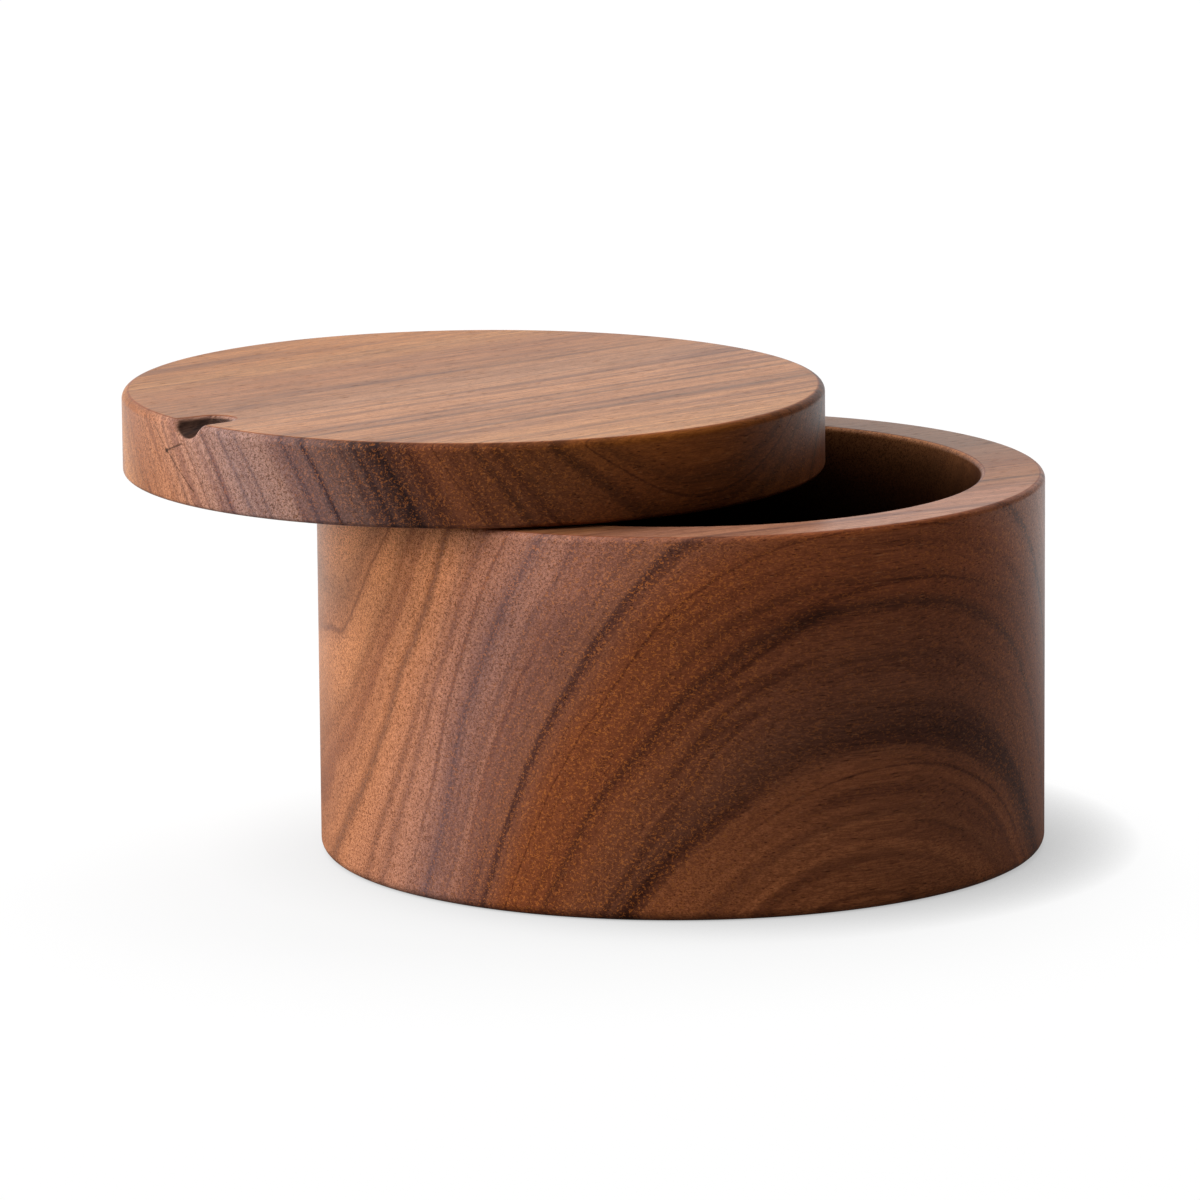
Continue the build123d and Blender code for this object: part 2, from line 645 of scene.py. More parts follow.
def build_hairline() -> bpy.types.NodeTree:
    """Makes the group of a hairline: a fine dark crack or knot between two points of a solid.

    Returns:
        The group. It gives the mask of the line.
    """
    graph, inputs, outputs = new_group(
        "hairline",
        (
            Port("Position", Kind.VECTOR),
            Port("Start", Kind.VECTOR),
            Port("End", Kind.VECTOR),
            Port("Width", value=0.2),
        ),
        (Port("Mask"),),
    )
    run = graph.vector_math(VectorOp.SUBTRACT, inputs["End"], inputs["Start"])
    offset = graph.vector_math(VectorOp.SUBTRACT, inputs["Position"], inputs["Start"])
    way = graph.math(
        Op.DIVIDE,
        graph.vector_math(VectorOp.DOT_PRODUCT, offset, run),
        graph.vector_math(VectorOp.DOT_PRODUCT, run, run),
        clamp=True,
    )
    away = graph.vector_math(VectorOp.SUBTRACT, offset, graph.scaled(run, way))
    ragged = graph.swing(graph.noise(inputs["Position"], RAGGED_SCALE, detail=2.0), RAGGED_BY)
    distance = graph.math(Op.ADD, graph.vector_math(VectorOp.LENGTH, away), ragged)
    width = graph.product(inputs["Width"], MM)
    core = graph.product(width, HAIRLINE_CORE)
    graph.join(graph.spread(distance, core, width, 1.0, 0.0), outputs["Mask"])
    return graph.tree


# Pores: where they are fully open and where they end, as shares of their bore, and how softly they thin out
PORE_CORE = 0.5
PORE_RIM = 1.6
PORE_EASING = 0.25


def build_pores() -> bpy.types.NodeTree:
    """Makes the group of the open pores of the wood, short tubes that lie along the grain.

    Returns:
        The group. It gives a mask of the open pores, and one of those that are filled and catch the light.
    """
    graph, inputs, outputs = new_group(
        "pores",
        (
            Port("Grain", Kind.VECTOR),
            Port("Spacing", value=0.7),
            Port("Length", value=3.0),
            Port("Bore", value=0.17),
        ),
        (Port("Open"), Port("Filled")),
    )
    core, rim = graph.product(inputs["Bore"], PORE_CORE), graph.product(inputs["Bore"], PORE_RIM)
    for name, offset, share in (("Open", 0.0, 0.35), ("Filled", 37.0, 0.6)):
        place = along_fibres(graph, inputs["Grain"], inputs["Length"], inputs["Spacing"], offset)
        cells = graph.node("TexVoronoi", feature="F1")
        graph.join(place, cells.inputs["Vector"])
        graph.join(1.0, cells.inputs["Scale"])
        near = graph.spread(cells.outputs["Distance"], core, rim, 1.0, 0.0)
        red, _, _ = graph.parts(cells.outputs["Color"])
        present = graph.spread(red, share, share + PORE_EASING)
        graph.join(graph.product(near, present), outputs[name])
    return graph.tree


def build_end_grain() -> bpy.types.NodeTree:
    """Makes the group that tells how a surface lies to the fibres.

    Returns:
        The group. It gives how squarely the surface cuts them, 1 on end grain and 0 along them, and how far
        it faces up, 1 on a level face and 0 on an upright one.
    """
    graph, inputs, outputs = new_group(
        "end_grain",
        (Port("Normal", Kind.VECTOR), Port("Fibre Bearing")),
        (Port("End"), Port("Level")),
    )
    along, _, up = graph.parts(graph.turned(inputs["Normal"], inputs["Fibre Bearing"]))
    graph.join(graph.math(Op.ABSOLUTE, along), outputs["End"])
    graph.join(graph.math(Op.MAXIMUM, up, 0.0), outputs["Level"])
    return graph.tree


@dataclass(frozen=True)
class WoodEffects:
    """The node groups that both woods use, each built once."""

    log_axes: bpy.types.NodeTree
    streaks: bpy.types.NodeTree
    fibres: bpy.types.NodeTree
    flecks: bpy.types.NodeTree
    pores: bpy.types.NodeTree
    end_grain: bpy.types.NodeTree
    hairline: bpy.types.NodeTree

    @classmethod
    def build(cls) -> "WoodEffects":
        """Builds the groups."""
        return cls(
            build_log_axes(),
            build_streaks(),
            build_fibres(),
            build_flecks(),
            build_pores(),
            build_end_grain(),
            build_hairline(),
        )


# A colour ramp holds at most 32 stops, and a band takes three.
BANDS_PER_RAMP = 10


@dataclass(frozen=True)
class Band:
    """A dark streak that follows one growth ring.

    Args:
        ring: Its distance from the heart, in millimetres.
        inner: How far it fades towards the heart.
        outer: How far it fades away from it.
        depth: How dark it is, from 0 to 1.
    """

    ring: float
    inner: float
    outer: float
    depth: float

    def slopes(self) -> tuple[tuple[float, float], ...]:
        """Gives the rings where it starts, is darkest and ends, with how dark it is at each."""
        return (self.ring - self.inner, 0.0), (self.ring, self.depth), (self.ring + self.outer, 0.0)


@dataclass(frozen=True)
class Hairline:
    """A fine dark crack, or a pin knot, in the side of a turned piece.

    Args:
        bearings: The bearings of its two ends round the piece, in degrees.
        heights: The heights of its two ends, in millimetres.
        width: Its width, in millimetres.
        depth: How dark it is, from 0 to 1.
    """

    bearings: tuple[float, float]
    heights: tuple[float, float]
    width: float
    depth: float

    def ends(self, centre: tuple[float, float], radius: float) -> list[Vector]:
        """Gives its two ends in the frame.

        Args:
            centre: The piece's axis in plan.
            radius: The piece's radius.

        Returns:
            The two points.
        """
        return [
            Vector(
                (
                    centre[0] + radius * math.cos(math.radians(bearing)),
                    centre[1] + radius * math.sin(math.radians(bearing)),
                    height * MM,
                )
            )
            for bearing, height in zip(self.bearings, self.heights)
        ]


@dataclass(frozen=True)
class Marks:
    """What the fine marks in a wood do to its colour, where they are at their strongest.

    Args:
        stripes: The broad, narrow and fine stripes.
        growth_line: A thin growth line.
        fibre: A fibre.
        hair: One of the finest fibres.
        dark_fleck: A dark fleck.
        fleck_glint: A bright fleck, a painted glint where a cut fibre catches the light.
        open_pore: An open pore.
        filled_pore_glint: A filled pore, its paler fill with a painted glint.
        crack: A crack or a knot.
    """

    stripes: tuple[Colour, Colour, Colour] = ((0.7, 0.68, 0.76), (0.56, 0.52, 0.58), (0.7, 0.66, 0.66))
    growth_line: Colour = (0.5, 0.46, 0.5)
    fibre: Colour = (0.55, 0.5, 0.46)
    hair: Colour = (0.45, 0.4, 0.36)
    dark_fleck: Colour = (0.3, 0.22, 0.17)
    fleck_glint: Colour = (0.3, 0.085, 0.012)
    open_pore: Colour = (0.3, 0.22, 0.18)
    filled_pore_glint: Colour = (0.22, 0.1, 0.045)
    crack: Colour = (0.1, 0.07, 0.05)


@dataclass(frozen=True)
class Reading:
    """What a wood's material reads at a place on its surface.

    Args:
        graph: The material's graph.
        solid: The place in the piece.
        grain: The place in the log, in millimetres.
        ring: Its distance from the log's heart, in millimetres.
        streaks: The stripes that follow the rings.
        fibres: The tone of the fibres.
        hairs: The tone of the finest fibres.
        flecks: The masks of the dark and the bright flecks.
        pores: The masks of the open and the filled pores.
        end: How squarely the surface cuts the fibres.
        facing_up: How far the surface faces up.
        level: 1 on a level face, 0 elsewhere.
        calm: How strongly bands and stripes show there.
    """

    graph: Graph
    solid: Socket
    grain: Socket
    ring: Socket
    streaks: Mapping[str, Socket]
    fibres: Socket
    hairs: Socket
    flecks: Mapping[str, Socket]
    pores: Mapping[str, Socket]
    end: Socket
    facing_up: Socket
    level: Socket
    calm: Socket


# How far a surface faces up where it starts to count as a level face and where it fully does; its edge is
# the part that lies between two such stretches
LEVEL_FACE = (0.9, 0.995)
LEVEL_FACE_EDGE_STARTS = (0.9, 0.96)
LEVEL_FACE_EDGE_ENDS = (0.98, 0.998)

# Where each effect starts and where it is full, in the numbers that draw it
STRIPE_EDGE = (0.5, 0.64)
STRIPE_CLUSTER = (0.4, 0.6)
FIBRE_EDGE = (0.44, 0.6)
CUT_FIBRES = (0.15, 0.7)
BAND_BREAKS = (0.25, 0.6)

# The finest fibres, and how far the fibres feather the edges of bands and tones, in millimetres
HAIR_WIDTH = 0.13
HAIR_LENGTH = 3.5
FEATHERING = 0.7

# How far the span of the rings goes past the tones and bands, in millimetres
SPAN_MARGIN = 5.0

# How strongly the marks show
FIBRE_DEPTH = 0.45
HAIR_DEPTH = 0.5
OPEN_PORE_DEPTH = 0.8
FILLED_PORE_GLINT_DEPTH = 0.5
STRIPES_BETWEEN_CLUSTERS = 0.4
DARK_FLECKS_ALONG_FIBRES = 0.4
FLECK_GLINTS_ALONG_FIBRES = 0.45
FLECK_GLINTS_ON_PALE_WOOD = 0.4

# What fibres and pores do to the roughness, and how far fibres stand up
FIBRE_ROUGHNESS = 0.12
PORE_ROUGHNESS = 0.2
FIBRE_RELIEF = 0.3
HAIR_RELIEF = 0.25
RELIEF_STRENGTH = 0.35
RELIEF_DEPTH = 0.05 * MM


@dataclass(frozen=True)
class Timber:
    """An oiled wood, cut from a log that lies level. All lengths are in millimetres.

    Args:
        name: The material's name.
        fibre_bearing: Which way its fibres run in plan, in degrees.
        heart: Where the log's heart is, across the fibres and up.
        tones: The wood's colour on its side, at distances from the heart, in order.
        bands: Its dark streaks, in order of their distance from the heart.
        streak: What a full streak does to the colour.
        wander: How unevenly the rings grow.
        flare: How much the rings spread past flare_start.
        flare_start: Where across the log the rings begin to spread.
        flare_reach: How far past flare_start they go on spreading.
        lean: How far the log's heart leans across it for each millimetre up.
        curl: How much that lean grows with height.
        squash: How oval the log is, as the share of its height that its width has.
        broad_width: Width of the broad stripes.
        narrow_width: Width of the narrow stripes.
        fine_width: Width of the fine stripes.
        stripes: How strongly the broad, narrow and fine stripes show.
        growth_lines: How strongly the thin growth lines show.
        pore_spacing: Distance from pore to pore.
        pore_length: Length of a pore.
        dark_flecks: How strongly dark flecks show on the paler wood.
        fleck_glints: How strongly the bright flecks, painted glints, show on the darker wood.
        fleck_tone: The tones between which bright flecks give way to dark ones.
        lit_level_tones: The colour of its level, planed faces at distances from the heart, in order; partly
            their own grain, partly painted light for the overhead light and sheen that they catch.
        level_contrast: How strongly bands and stripes show on the level faces.
        edge_tint: What the thin line along the edge of a level face does to the colour.
        hairlines: Its fine cracks and knots, with the two ends of each in the frame.
        marks: What its fine marks do to the colour.
        pale_band: The heights between which its side turns paler towards the rim.
        pale_band_tint: What that does to the colour.
        recess_shade_tint: What the painted shade inside a recess does to the colour.
        roughness: Roughness of the oiled surface.
        gloss: How much light the oiled surface reflects, as the shader's specular level.
    """

    name: str
    fibre_bearing: float
    heart: tuple[float, float]
    tones: Sequence[tuple[float, Colour]]
    bands: Sequence[Band]
    streak: Colour
    wander: float = 1.0
    flare: float = 0.0
    flare_start: float = 0.0
    flare_reach: float = NO_LIMIT
    lean: float = 0.0
    curl: float = 0.0
    squash: float = 1.0
    broad_width: float = 9.0
    narrow_width: float = 2.0
    fine_width: float = 0.8
    stripes: tuple[float, float, float] = (0.7, 0.9, 0.5)
    growth_lines: float = 0.8
    pore_spacing: float = 0.52
    pore_length: float = 4.5
    dark_flecks: float = 0.8
    fleck_glints: float = 0.8
    fleck_tone: tuple[float, float] = (0.07, 0.16)
    lit_level_tones: Sequence[tuple[float, Colour]] = ()
    level_contrast: float = 0.85
    edge_tint: Colour = (0.72, 0.5, 0.36)
    hairlines: Sequence[tuple[Hairline, Sequence[Vector]]] = ()
    marks: Marks = Marks()
    pale_band: tuple[float, float] = (NO_LIMIT, NO_LIMIT + 1.0)
    pale_band_tint: Colour = (1.3, 1.26, 1.18)
    recess_shade_tint: Colour = (0.022, 0.013, 0.01)
    roughness: float = 0.34
    gloss: float = 0.12

    def span(self) -> tuple[float, float]:
        """Gives the rings that the tones and bands lie between."""
        rings = [ring for ring, _ in self.tones] + [band.ring for band in self.bands]
        return min(rings) - SPAN_MARGIN, max(rings) + SPAN_MARGIN

    def read(self, graph: Graph, effects: WoodEffects) -> Reading:
        """Reads the place on the surface with the woods' node groups.

        Args:
            graph: The material's graph.
            effects: The node groups that it uses.

        Returns:
            What they read.
        """
        place = graph.node("TexCoord").outputs
        axes = graph.place(
            effects.log_axes,
            Position=place["Object"],
            Fibre_Bearing=self.fibre_bearing,
            Heart_Across=self.heart[0],
            Heart_Height=self.heart[1],
            Wander=self.wander,
            Flare_Start=self.flare_start,
            Flare=self.flare,
            Flare_Reach=self.flare_reach,
            Lean=self.lean,
            Curl=self.curl,
            Squash=self.squash,
        )
        grain, ring = axes["Grain"], axes["Ring"]
        streaks = graph.place(
            effects.streaks,
            Grain=grain,
            Ring=ring,
            Broad_Width=self.broad_width,
            Narrow_Width=self.narrow_width,
            Fine_Width=self.fine_width,
        )
        hairs = graph.place(effects.fibres, Grain=grain, Width=HAIR_WIDTH, Length=HAIR_LENGTH)
        pores = graph.place(effects.pores, Grain=grain, Spacing=self.pore_spacing, Length=self.pore_length)
        faces = graph.place(effects.end_grain, Normal=place["Normal"], Fibre_Bearing=self.fibre_bearing)
        level = graph.spread(faces["Level"], *LEVEL_FACE)
        return Reading(
            graph,
            solid=place["Object"],
            grain=grain,
            ring=ring,
            streaks=streaks,
            fibres=graph.place(effects.fibres, Grain=grain)["Tone"],
            hairs=hairs["Tone"],
            flecks=graph.place(effects.flecks, Grain=grain),
            pores=pores,
            end=faces["End"],
            facing_up=faces["Level"],
            level=level,
            calm=graph.spread(level, 0.0, 1.0, 1.0, self.level_contrast),
        )

    def material(self, effects: WoodEffects) -> bpy.types.Material:
        """Makes the material.

        Args:
            effects: The node groups that it uses.

        Returns:
            The material.
        """
        made, graph, shader = new_material(self.name)
        wood = self.read(graph, effects)
        colour = self.banded(wood)
        colour = self.striped(wood, colour)
        colour = self.flecked(wood, colour)
        colour = self.cut_across(wood, colour)
        colour = self.cracked(wood, colour, effects)
        colour = self.pale_band_and_recess_shade(wood, colour)
        graph.join(colour, shader.inputs["Base Color"])
        self.oil(wood, shader)
        return made

    def banded(self, wood: Reading) -> Socket:
        """Gives the wood's tones along the rings, with the dark streaks."""
        graph = wood.graph
        low, high = self.span()
        feathered = graph.math(Op.ADD, wood.ring, graph.swing(wood.fibres, FEATHERING))
        share = graph.math(Op.DIVIDE, graph.math(Op.SUBTRACT, feathered, low), high - low, clamp=True)
        side_tone, lit_level_tone = (
            graph.ramp(share, [((at - low) / (high - low), colour) for at, colour in tones])
            for tones in (self.tones, self.lit_level_tones or self.tones)
        )
        # Upward faces take the level tones: partly their own grain, partly painted light for the overhead
        # light and sheen that they catch.
        tone = graph.blend(Mixing.MIX, wood.level, side_tone, lit_level_tone)
        mask = graph.product(self.band_mask(graph, share, wood.streaks["Broad"]), wood.calm)
        return graph.blend(Mixing.MULTIPLY, mask, tone, self.streak)

    def striped(self, wood: Reading, colour: Socket) -> Socket:
        """Lays stripes, growth lines and fibres over a colour."""
        graph = wood.graph
        cluster = graph.spread(wood.streaks["Broad"], *STRIPE_CLUSTER, STRIPES_BETWEEN_CLUSTERS, 1.0)
        for name, strength, tint in zip(("Broad", "Narrow", "Fine"), self.stripes, self.marks.stripes):
            stripe = graph.spread(wood.streaks[name], *STRIPE_EDGE)
            depth = graph.product(stripe, strength, cluster, wood.calm)
            colour = graph.blend(Mixing.MULTIPLY, depth, colour, tint)
        lines = graph.product(wood.streaks["Lines"], self.growth_lines, wood.calm)
        colour = graph.blend(Mixing.MULTIPLY, lines, colour, self.marks.growth_line)
        fibres = graph.spread(wood.fibres, *FIBRE_EDGE, 0.0, FIBRE_DEPTH)
        colour = graph.blend(Mixing.MULTIPLY, fibres, colour, self.marks.fibre)
        hairs = graph.spread(wood.hairs, *FIBRE_EDGE, 0.0, HAIR_DEPTH)
        return graph.blend(Mixing.MULTIPLY, hairs, colour, self.marks.hair)

    def flecked(self, wood: Reading, colour: Socket) -> Socket:
        """Lays flecks over a colour, dark ones where it is pale and bright ones, painted glints, where it is
        dark.
        """
        graph = wood.graph
        lightness = graph.node("RGBToBW")
        graph.join(colour, lightness.inputs[0])
        pale = graph.spread(lightness.outputs[0], *self.fleck_tone)
        cut = graph.spread(wood.end, *CUT_FIBRES)
        dark = graph.product(
            wood.flecks["Dark"],
            pale,
            graph.spread(cut, 0.0, 1.0, DARK_FLECKS_ALONG_FIBRES, 1.0),
            self.dark_flecks,
        )
        colour = graph.blend(Mixing.MULTIPLY, dark, colour, self.marks.dark_fleck)
        # Painted glints: bright flecks lighten the colour where cut fibres would catch the light.
        bright = graph.product(
            wood.flecks["Bright"],
            graph.spread(pale, 0.0, 1.0, 1.0, FLECK_GLINTS_ON_PALE_WOOD),
            graph.spread(cut, 0.0, 1.0, FLECK_GLINTS_ALONG_FIBRES, 1.0),
            self.fleck_glints,
        )
        return graph.blend(Mixing.SCREEN, bright, colour, self.marks.fleck_glint)

    def cut_across(self, wood: Reading, colour: Socket) -> Socket:
        """Tints a colour in the pores that a cut lays open, with painted glints in the filled ones, and along
        a thin line at the edge of a level face.
        """
        graph = wood.graph
        open_pores = graph.product(wood.pores["Open"], OPEN_PORE_DEPTH)
        colour = graph.blend(Mixing.MULTIPLY, open_pores, colour, self.marks.open_pore)
        # Painted glints: filled pores lighten the colour as if they caught the light.
        filled_pore_glints = graph.product(wood.pores["Filled"], FILLED_PORE_GLINT_DEPTH)
        colour = graph.blend(Mixing.SCREEN, filled_pore_glints, colour, self.marks.filled_pore_glint)
        edge = graph.product(
            graph.spread(wood.facing_up, *LEVEL_FACE_EDGE_STARTS),
            graph.spread(wood.facing_up, *LEVEL_FACE_EDGE_ENDS, 1.0, 0.0),
        )
        return graph.blend(Mixing.MULTIPLY, edge, colour, self.edge_tint)

    def cracked(self, wood: Reading, colour: Socket, effects: WoodEffects) -> Socket:
        """Draws the fine cracks and knots over a colour.

        Args:
            wood: What is read at the place.
            colour: The colour.
            effects: The node groups, one of which draws a line.

        Returns:
            The colour with its lines.
        """
        graph = wood.graph
        for line, (start, end) in self.hairlines:
            drawn = graph.place(effects.hairline, Position=wood.solid, Start=start, End=end, Width=line.width)
            depth = graph.product(drawn["Mask"], line.depth)
            colour = graph.blend(Mixing.MULTIPLY, depth, colour, self.marks.crack)
        return colour

    def pale_band_and_recess_shade(self, wood: Reading, colour: Socket) -> Socket:
        """Turns a colour paler on the side towards the rim, and darker with painted shade in a recess."""
        graph = wood.graph
        _, _, height = graph.parts(wood.grain)
        pale_band = graph.product(graph.spread(height, *self.pale_band), graph.math(Op.SUBTRACT, 1.0, wood.level))
        colour = graph.blend(Mixing.MULTIPLY, pale_band, colour, self.pale_band_tint)
        # Painted shade: the insides of the well and the thumb notch are darkened through the recess
        # attribute.
        recess = graph.node("Attribute", attribute_name=RECESS_SHADE).outputs["Fac"]
        return graph.blend(Mixing.MULTIPLY, recess, colour, self.recess_shade_tint)

    def oil(self, wood: Reading, shader: bpy.types.Node) -> None:
        """Gives the shader an oiled surface, rougher in the pores, with the fibres just standing up."""
        graph = wood.graph
        rough = graph.math(Op.ADD, self.roughness, graph.swing(wood.fibres, FIBRE_ROUGHNESS))
        rough = graph.math(Op.ADD, rough, graph.product(wood.pores["Open"], PORE_ROUGHNESS))
        graph.join(rough, shader.inputs["Roughness"])
        shader.inputs["Specular IOR Level"].default_value = self.gloss
        height = graph.math(Op.SUBTRACT, graph.product(wood.fibres, FIBRE_RELIEF), wood.pores["Open"])
        height = graph.math(Op.ADD, height, graph.product(wood.hairs, HAIR_RELIEF))
        graph.relief(height, RELIEF_STRENGTH, RELIEF_DEPTH, shader)

    def band_mask(self, graph: Graph, share: Socket, broad: Socket) -> Socket:
        """Works out how dark the streaks are.

        Args:
            graph: The material's graph.
            share: Where in the span the ring lies, from 0 to 1.
            broad: Broad stripes, which break the streaks up.

        Returns:
            The socket of the darkness, from 0 to 1.
        """
        low, high = self.span()
        mask: Signal = 0.0
        for first in range(0, len(self.bands), BANDS_PER_RAMP):
            stops = [
                ((ring - low) / (high - low), (depth, depth, depth))
                for band in self.bands[first : first + BANDS_PER_RAMP]
                for ring, depth in band.slopes()
            ]
            mask = graph.math(Op.MAXIMUM, mask, graph.ramp(share, stops))
        uneven = graph.spread(broad, *BAND_BREAKS, 0.75, 1.1)
        return graph.math(Op.MULTIPLY, mask, uneven, clamp=True)


@dataclass(frozen=True)
class Metal:
    """A turned or pressed metal.

    Args:
        name: The material's name.
        colour: Its colour.
        worn: Its colour where handling and time have dulled it.
        roughness: Roughness of the clean metal.
        marks_scale: How fine the tool marks are on each axis.
        bloom_scale: How fine the dull bloom is.
        bloom_edge: Where the bloom starts and where it is full, in the noise that draws it.
        marks_roughness: How much rougher the tool marks are.
        bloom_roughness: How much rougher the bloom is.
        marks_strength: How strongly the relief of the tool marks shows.
        marks_depth: How deep they are.
    """

    name: str
    colour: Colour
    worn: Colour
    roughness: float
    marks_scale: tuple[float, float, float] = (400.0, 400.0, 9000.0)
    bloom_scale: float = 900.0
    bloom_edge: tuple[float, float] = (0.45, 0.7)
    marks_roughness: float = 0.12
    bloom_roughness: float = 0.15
    marks_strength: float = 0.3
    marks_depth: float = 0.01 * MM

    def material(self) -> bpy.types.Material:
        """Makes the material, with fine tool marks and a dull bloom."""
        made, graph, shader = new_material(self.name)
        shader.inputs["Metallic"].default_value = 1.0
        place = graph.node("TexCoord").outputs["Object"]
        marks = graph.noise(graph.stretched(place, self.marks_scale), 1.0, detail=2.0)
        bloom = graph.noise(place, self.bloom_scale, detail=4.0, rough=0.6)
        dull = graph.spread(bloom, *self.bloom_edge)
        graph.join(graph.blend(Mixing.MIX, dull, self.colour, self.worn), shader.inputs["Base Color"])
        rough = graph.math(Op.ADD, graph.product(marks, self.marks_roughness), self.roughness)
        rough = graph.math(Op.ADD, rough, graph.product(dull, self.bloom_roughness))
        graph.join(rough, shader.inputs["Roughness"])
        graph.relief(marks, self.marks_strength, self.marks_depth, shader)
        return made


@dataclass(frozen=True)
class Nylon:
    """The pale nylon of the thrust washer.

    Args:
        name: The material's name.
        colour: Its colour.
        shade: Its colour where it has yellowed.
        mottle_scale: How fine its mottling is.
        mottle_edge: Where the yellowed roughness starts and where it is full, in the mottling.
        roughness: Its roughness where it is new and where it has yellowed.
        mottle_strength: How strongly the relief of the mottling shows.
        mottle_depth: How deep it is.
    """

    name: str
    colour: Colour
    shade: Colour
    mottle_scale: float = 700.0
    mottle_edge: tuple[float, float] = (0.3, 0.7)
    roughness: tuple[float, float] = (0.4, 0.52)
    mottle_strength: float = 0.2
    mottle_depth: float = 0.01 * MM

    def material(self) -> bpy.types.Material:
        """Makes the material, faintly mottled and smooth."""
        made, graph, shader = new_material(self.name)
        place = graph.node("TexCoord").outputs["Object"]
        mottle = graph.noise(place, self.mottle_scale, detail=3.0)
        graph.join(graph.blend(Mixing.MIX, mottle, self.colour, self.shade), shader.inputs["Base Color"])
        graph.join(graph.spread(mottle, *self.mottle_edge, *self.roughness), shader.inputs["Roughness"])
        graph.relief(mottle, self.mottle_strength, self.mottle_depth, shader)
        return made


@dataclass(frozen=True)
class Corner:
    """A corner of a turned outline.

    Args:
        radius: Its distance from the axis.
        height: Its height.
        rounding: Radius of the arc that eases it, or 0 for a sharp one.
    """

    radius: float
    height: float
    rounding: float = 0.0


def rounded_outline(corners: Sequence[Corner], chords: int) -> list[tuple[float, float]]:
    """Joins corners with straight lines and eases those that are rounded.

    Args:
        corners: The corners in order. The first and last are the outline's ends.
        chords: How many chords each arc has.

    Returns:
        The outline's points, as distances from the axis and heights.
    """
    points = [Vector((corner.radius, corner.height)) for corner in corners]
    outline = [points[0]]
    for before, point, after, corner in zip(points, points[1:], points[2:], corners[1:]):
        if not corner.rounding:
            outline.append(point)
            continue
        incoming, outgoing = (point - before).normalized(), (after - point).normalized()
        turn = incoming.angle_signed(outgoing)
        centre = point + (outgoing - incoming).normalized() * corner.rounding / math.cos(turn / 2)
        start = point - incoming * corner.rounding * math.tan(abs(turn) / 2) - centre
        for step in range(chords + 1):
            outline.append(centre + Matrix.Rotation(-turn * step / chords, 2) @ start)
    outline.append(points[-1])
    return [(point.x, point.y) for point in outline]


Ring = list[bmesh.types.BMVert]


def clamped(number: float) -> float:
    """Holds a number from 0 to 1."""
    return min(max(number, 0.0), 1.0)


@dataclass
class TurnedMesh:
    """A mesh built of rings of vertices round an upright axis.

    Args:
        axis: Where the axis stands in plan.
        bearings: The bearings of a ring's vertices, in radians and in order.
        mesh: The mesh that it works on.
    """

    axis: tuple[float, float]
    bearings: Sequence[float]
    mesh: bmesh.types.BMesh = field(default_factory=bmesh.new)

    def __post_init__(self) -> None:
        """Gives the mesh a number at each vertex that tells how much painted shade it takes in a recess."""
        self.recess = self.mesh.verts.layers.float.new(RECESS_SHADE)

    def ring(self, radius: float, height: float) -> Ring:
        """Adds a ring of vertices.

        Args:
            radius: Its radius.
            height: Its height.

        Returns:
            The vertices, in order.
        """
        x, y = self.axis
        return [
            self.mesh.verts.new((x + radius * math.cos(turn), y + radius * math.sin(turn), height))
            for turn in self.bearings
        ]

    def band(self, lower: Ring, upper: Ring) -> None:
        """Joins two rings with a band of faces."""
        for side in range(len(lower)):
            after = (side + 1) % len(lower)
            self.mesh.faces.new((lower[side], lower[after], upper[after], upper[side]))

    def sweep(self, outline: Sequence[tuple[float, float]]) -> tuple[Ring, Ring]:
        """Turns an outline round the axis.

        Args:
            outline: Its points, as distances from the axis and heights.

        Returns:
            The rings at its two ends.
        """
        rings = [self.ring(radius, height) for radius, height in outline]
        for lower, upper in zip(rings, rings[1:]):
            self.band(lower, upper)
        return rings[0], rings[-1]

    def fill(self, *rings: Ring) -> None:
        """Fills a level face between rings, or inside one."""
        if len(rings) == 1:
            self.mesh.faces.new(rings[0])
            return
        edges = [
            self.mesh.edges.get((ring[side], ring[(side + 1) % len(ring)]))
            or self.mesh.edges.new((ring[side], ring[(side + 1) % len(ring)]))
            for ring in rings
            for side in range(len(ring))
        ]
        bmesh.ops.triangle_fill(self.mesh, use_beauty=True, edges=edges)

    def absorb(self, other: "TurnedMesh") -> None:
        """Makes another builder work on this mesh, so that the two share it."""
        other.mesh.free()
        other.mesh, other.recess = self.mesh, self.recess

    def shade_recess(self, depth: Callable[[Vector], float]) -> None:
        """Sets how much painted shade each vertex takes in a recess.

        Args:
            depth: Gives the painted shade at a point, from 0 on the outside to 1.
        """
        for vertex in self.mesh.verts:
            vertex[self.recess] = max(vertex[self.recess], clamped(depth(vertex.co)))

    def finish(self, name: str, sharp: float = math.radians(35)) -> bpy.types.Object:
        """Closes the work and makes the object.

        Args:
            name: The object's name.
            sharp: Faces that meet at more than this angle keep a crisp edge.

        Returns:
            The object, in the scene.
        """
        bmesh.ops.recalc_face_normals(self.mesh, faces=self.mesh.faces)
        for face in self.mesh.faces:
            face.smooth = True
        for edge in self.mesh.edges:
            edge.smooth = len(edge.link_faces) == 2 and edge.calc_face_angle() < sharp
        data = bpy.data.meshes.new(name)
        self.mesh.to_mesh(data)
        self.mesh.free()
        made = bpy.data.objects.new(name, data)
        bpy.context.scene.collection.objects.link(made)
        normals = made.modifiers.new("level_faces_stay_flat", "WEIGHTED_NORMAL")
        normals.keep_sharp = True
        return made


def even_bearings(count: int) -> list[float]:
    """Gives bearings spread evenly round a circle, in radians."""
    return [2 * math.pi * step / count for step in range(count)]


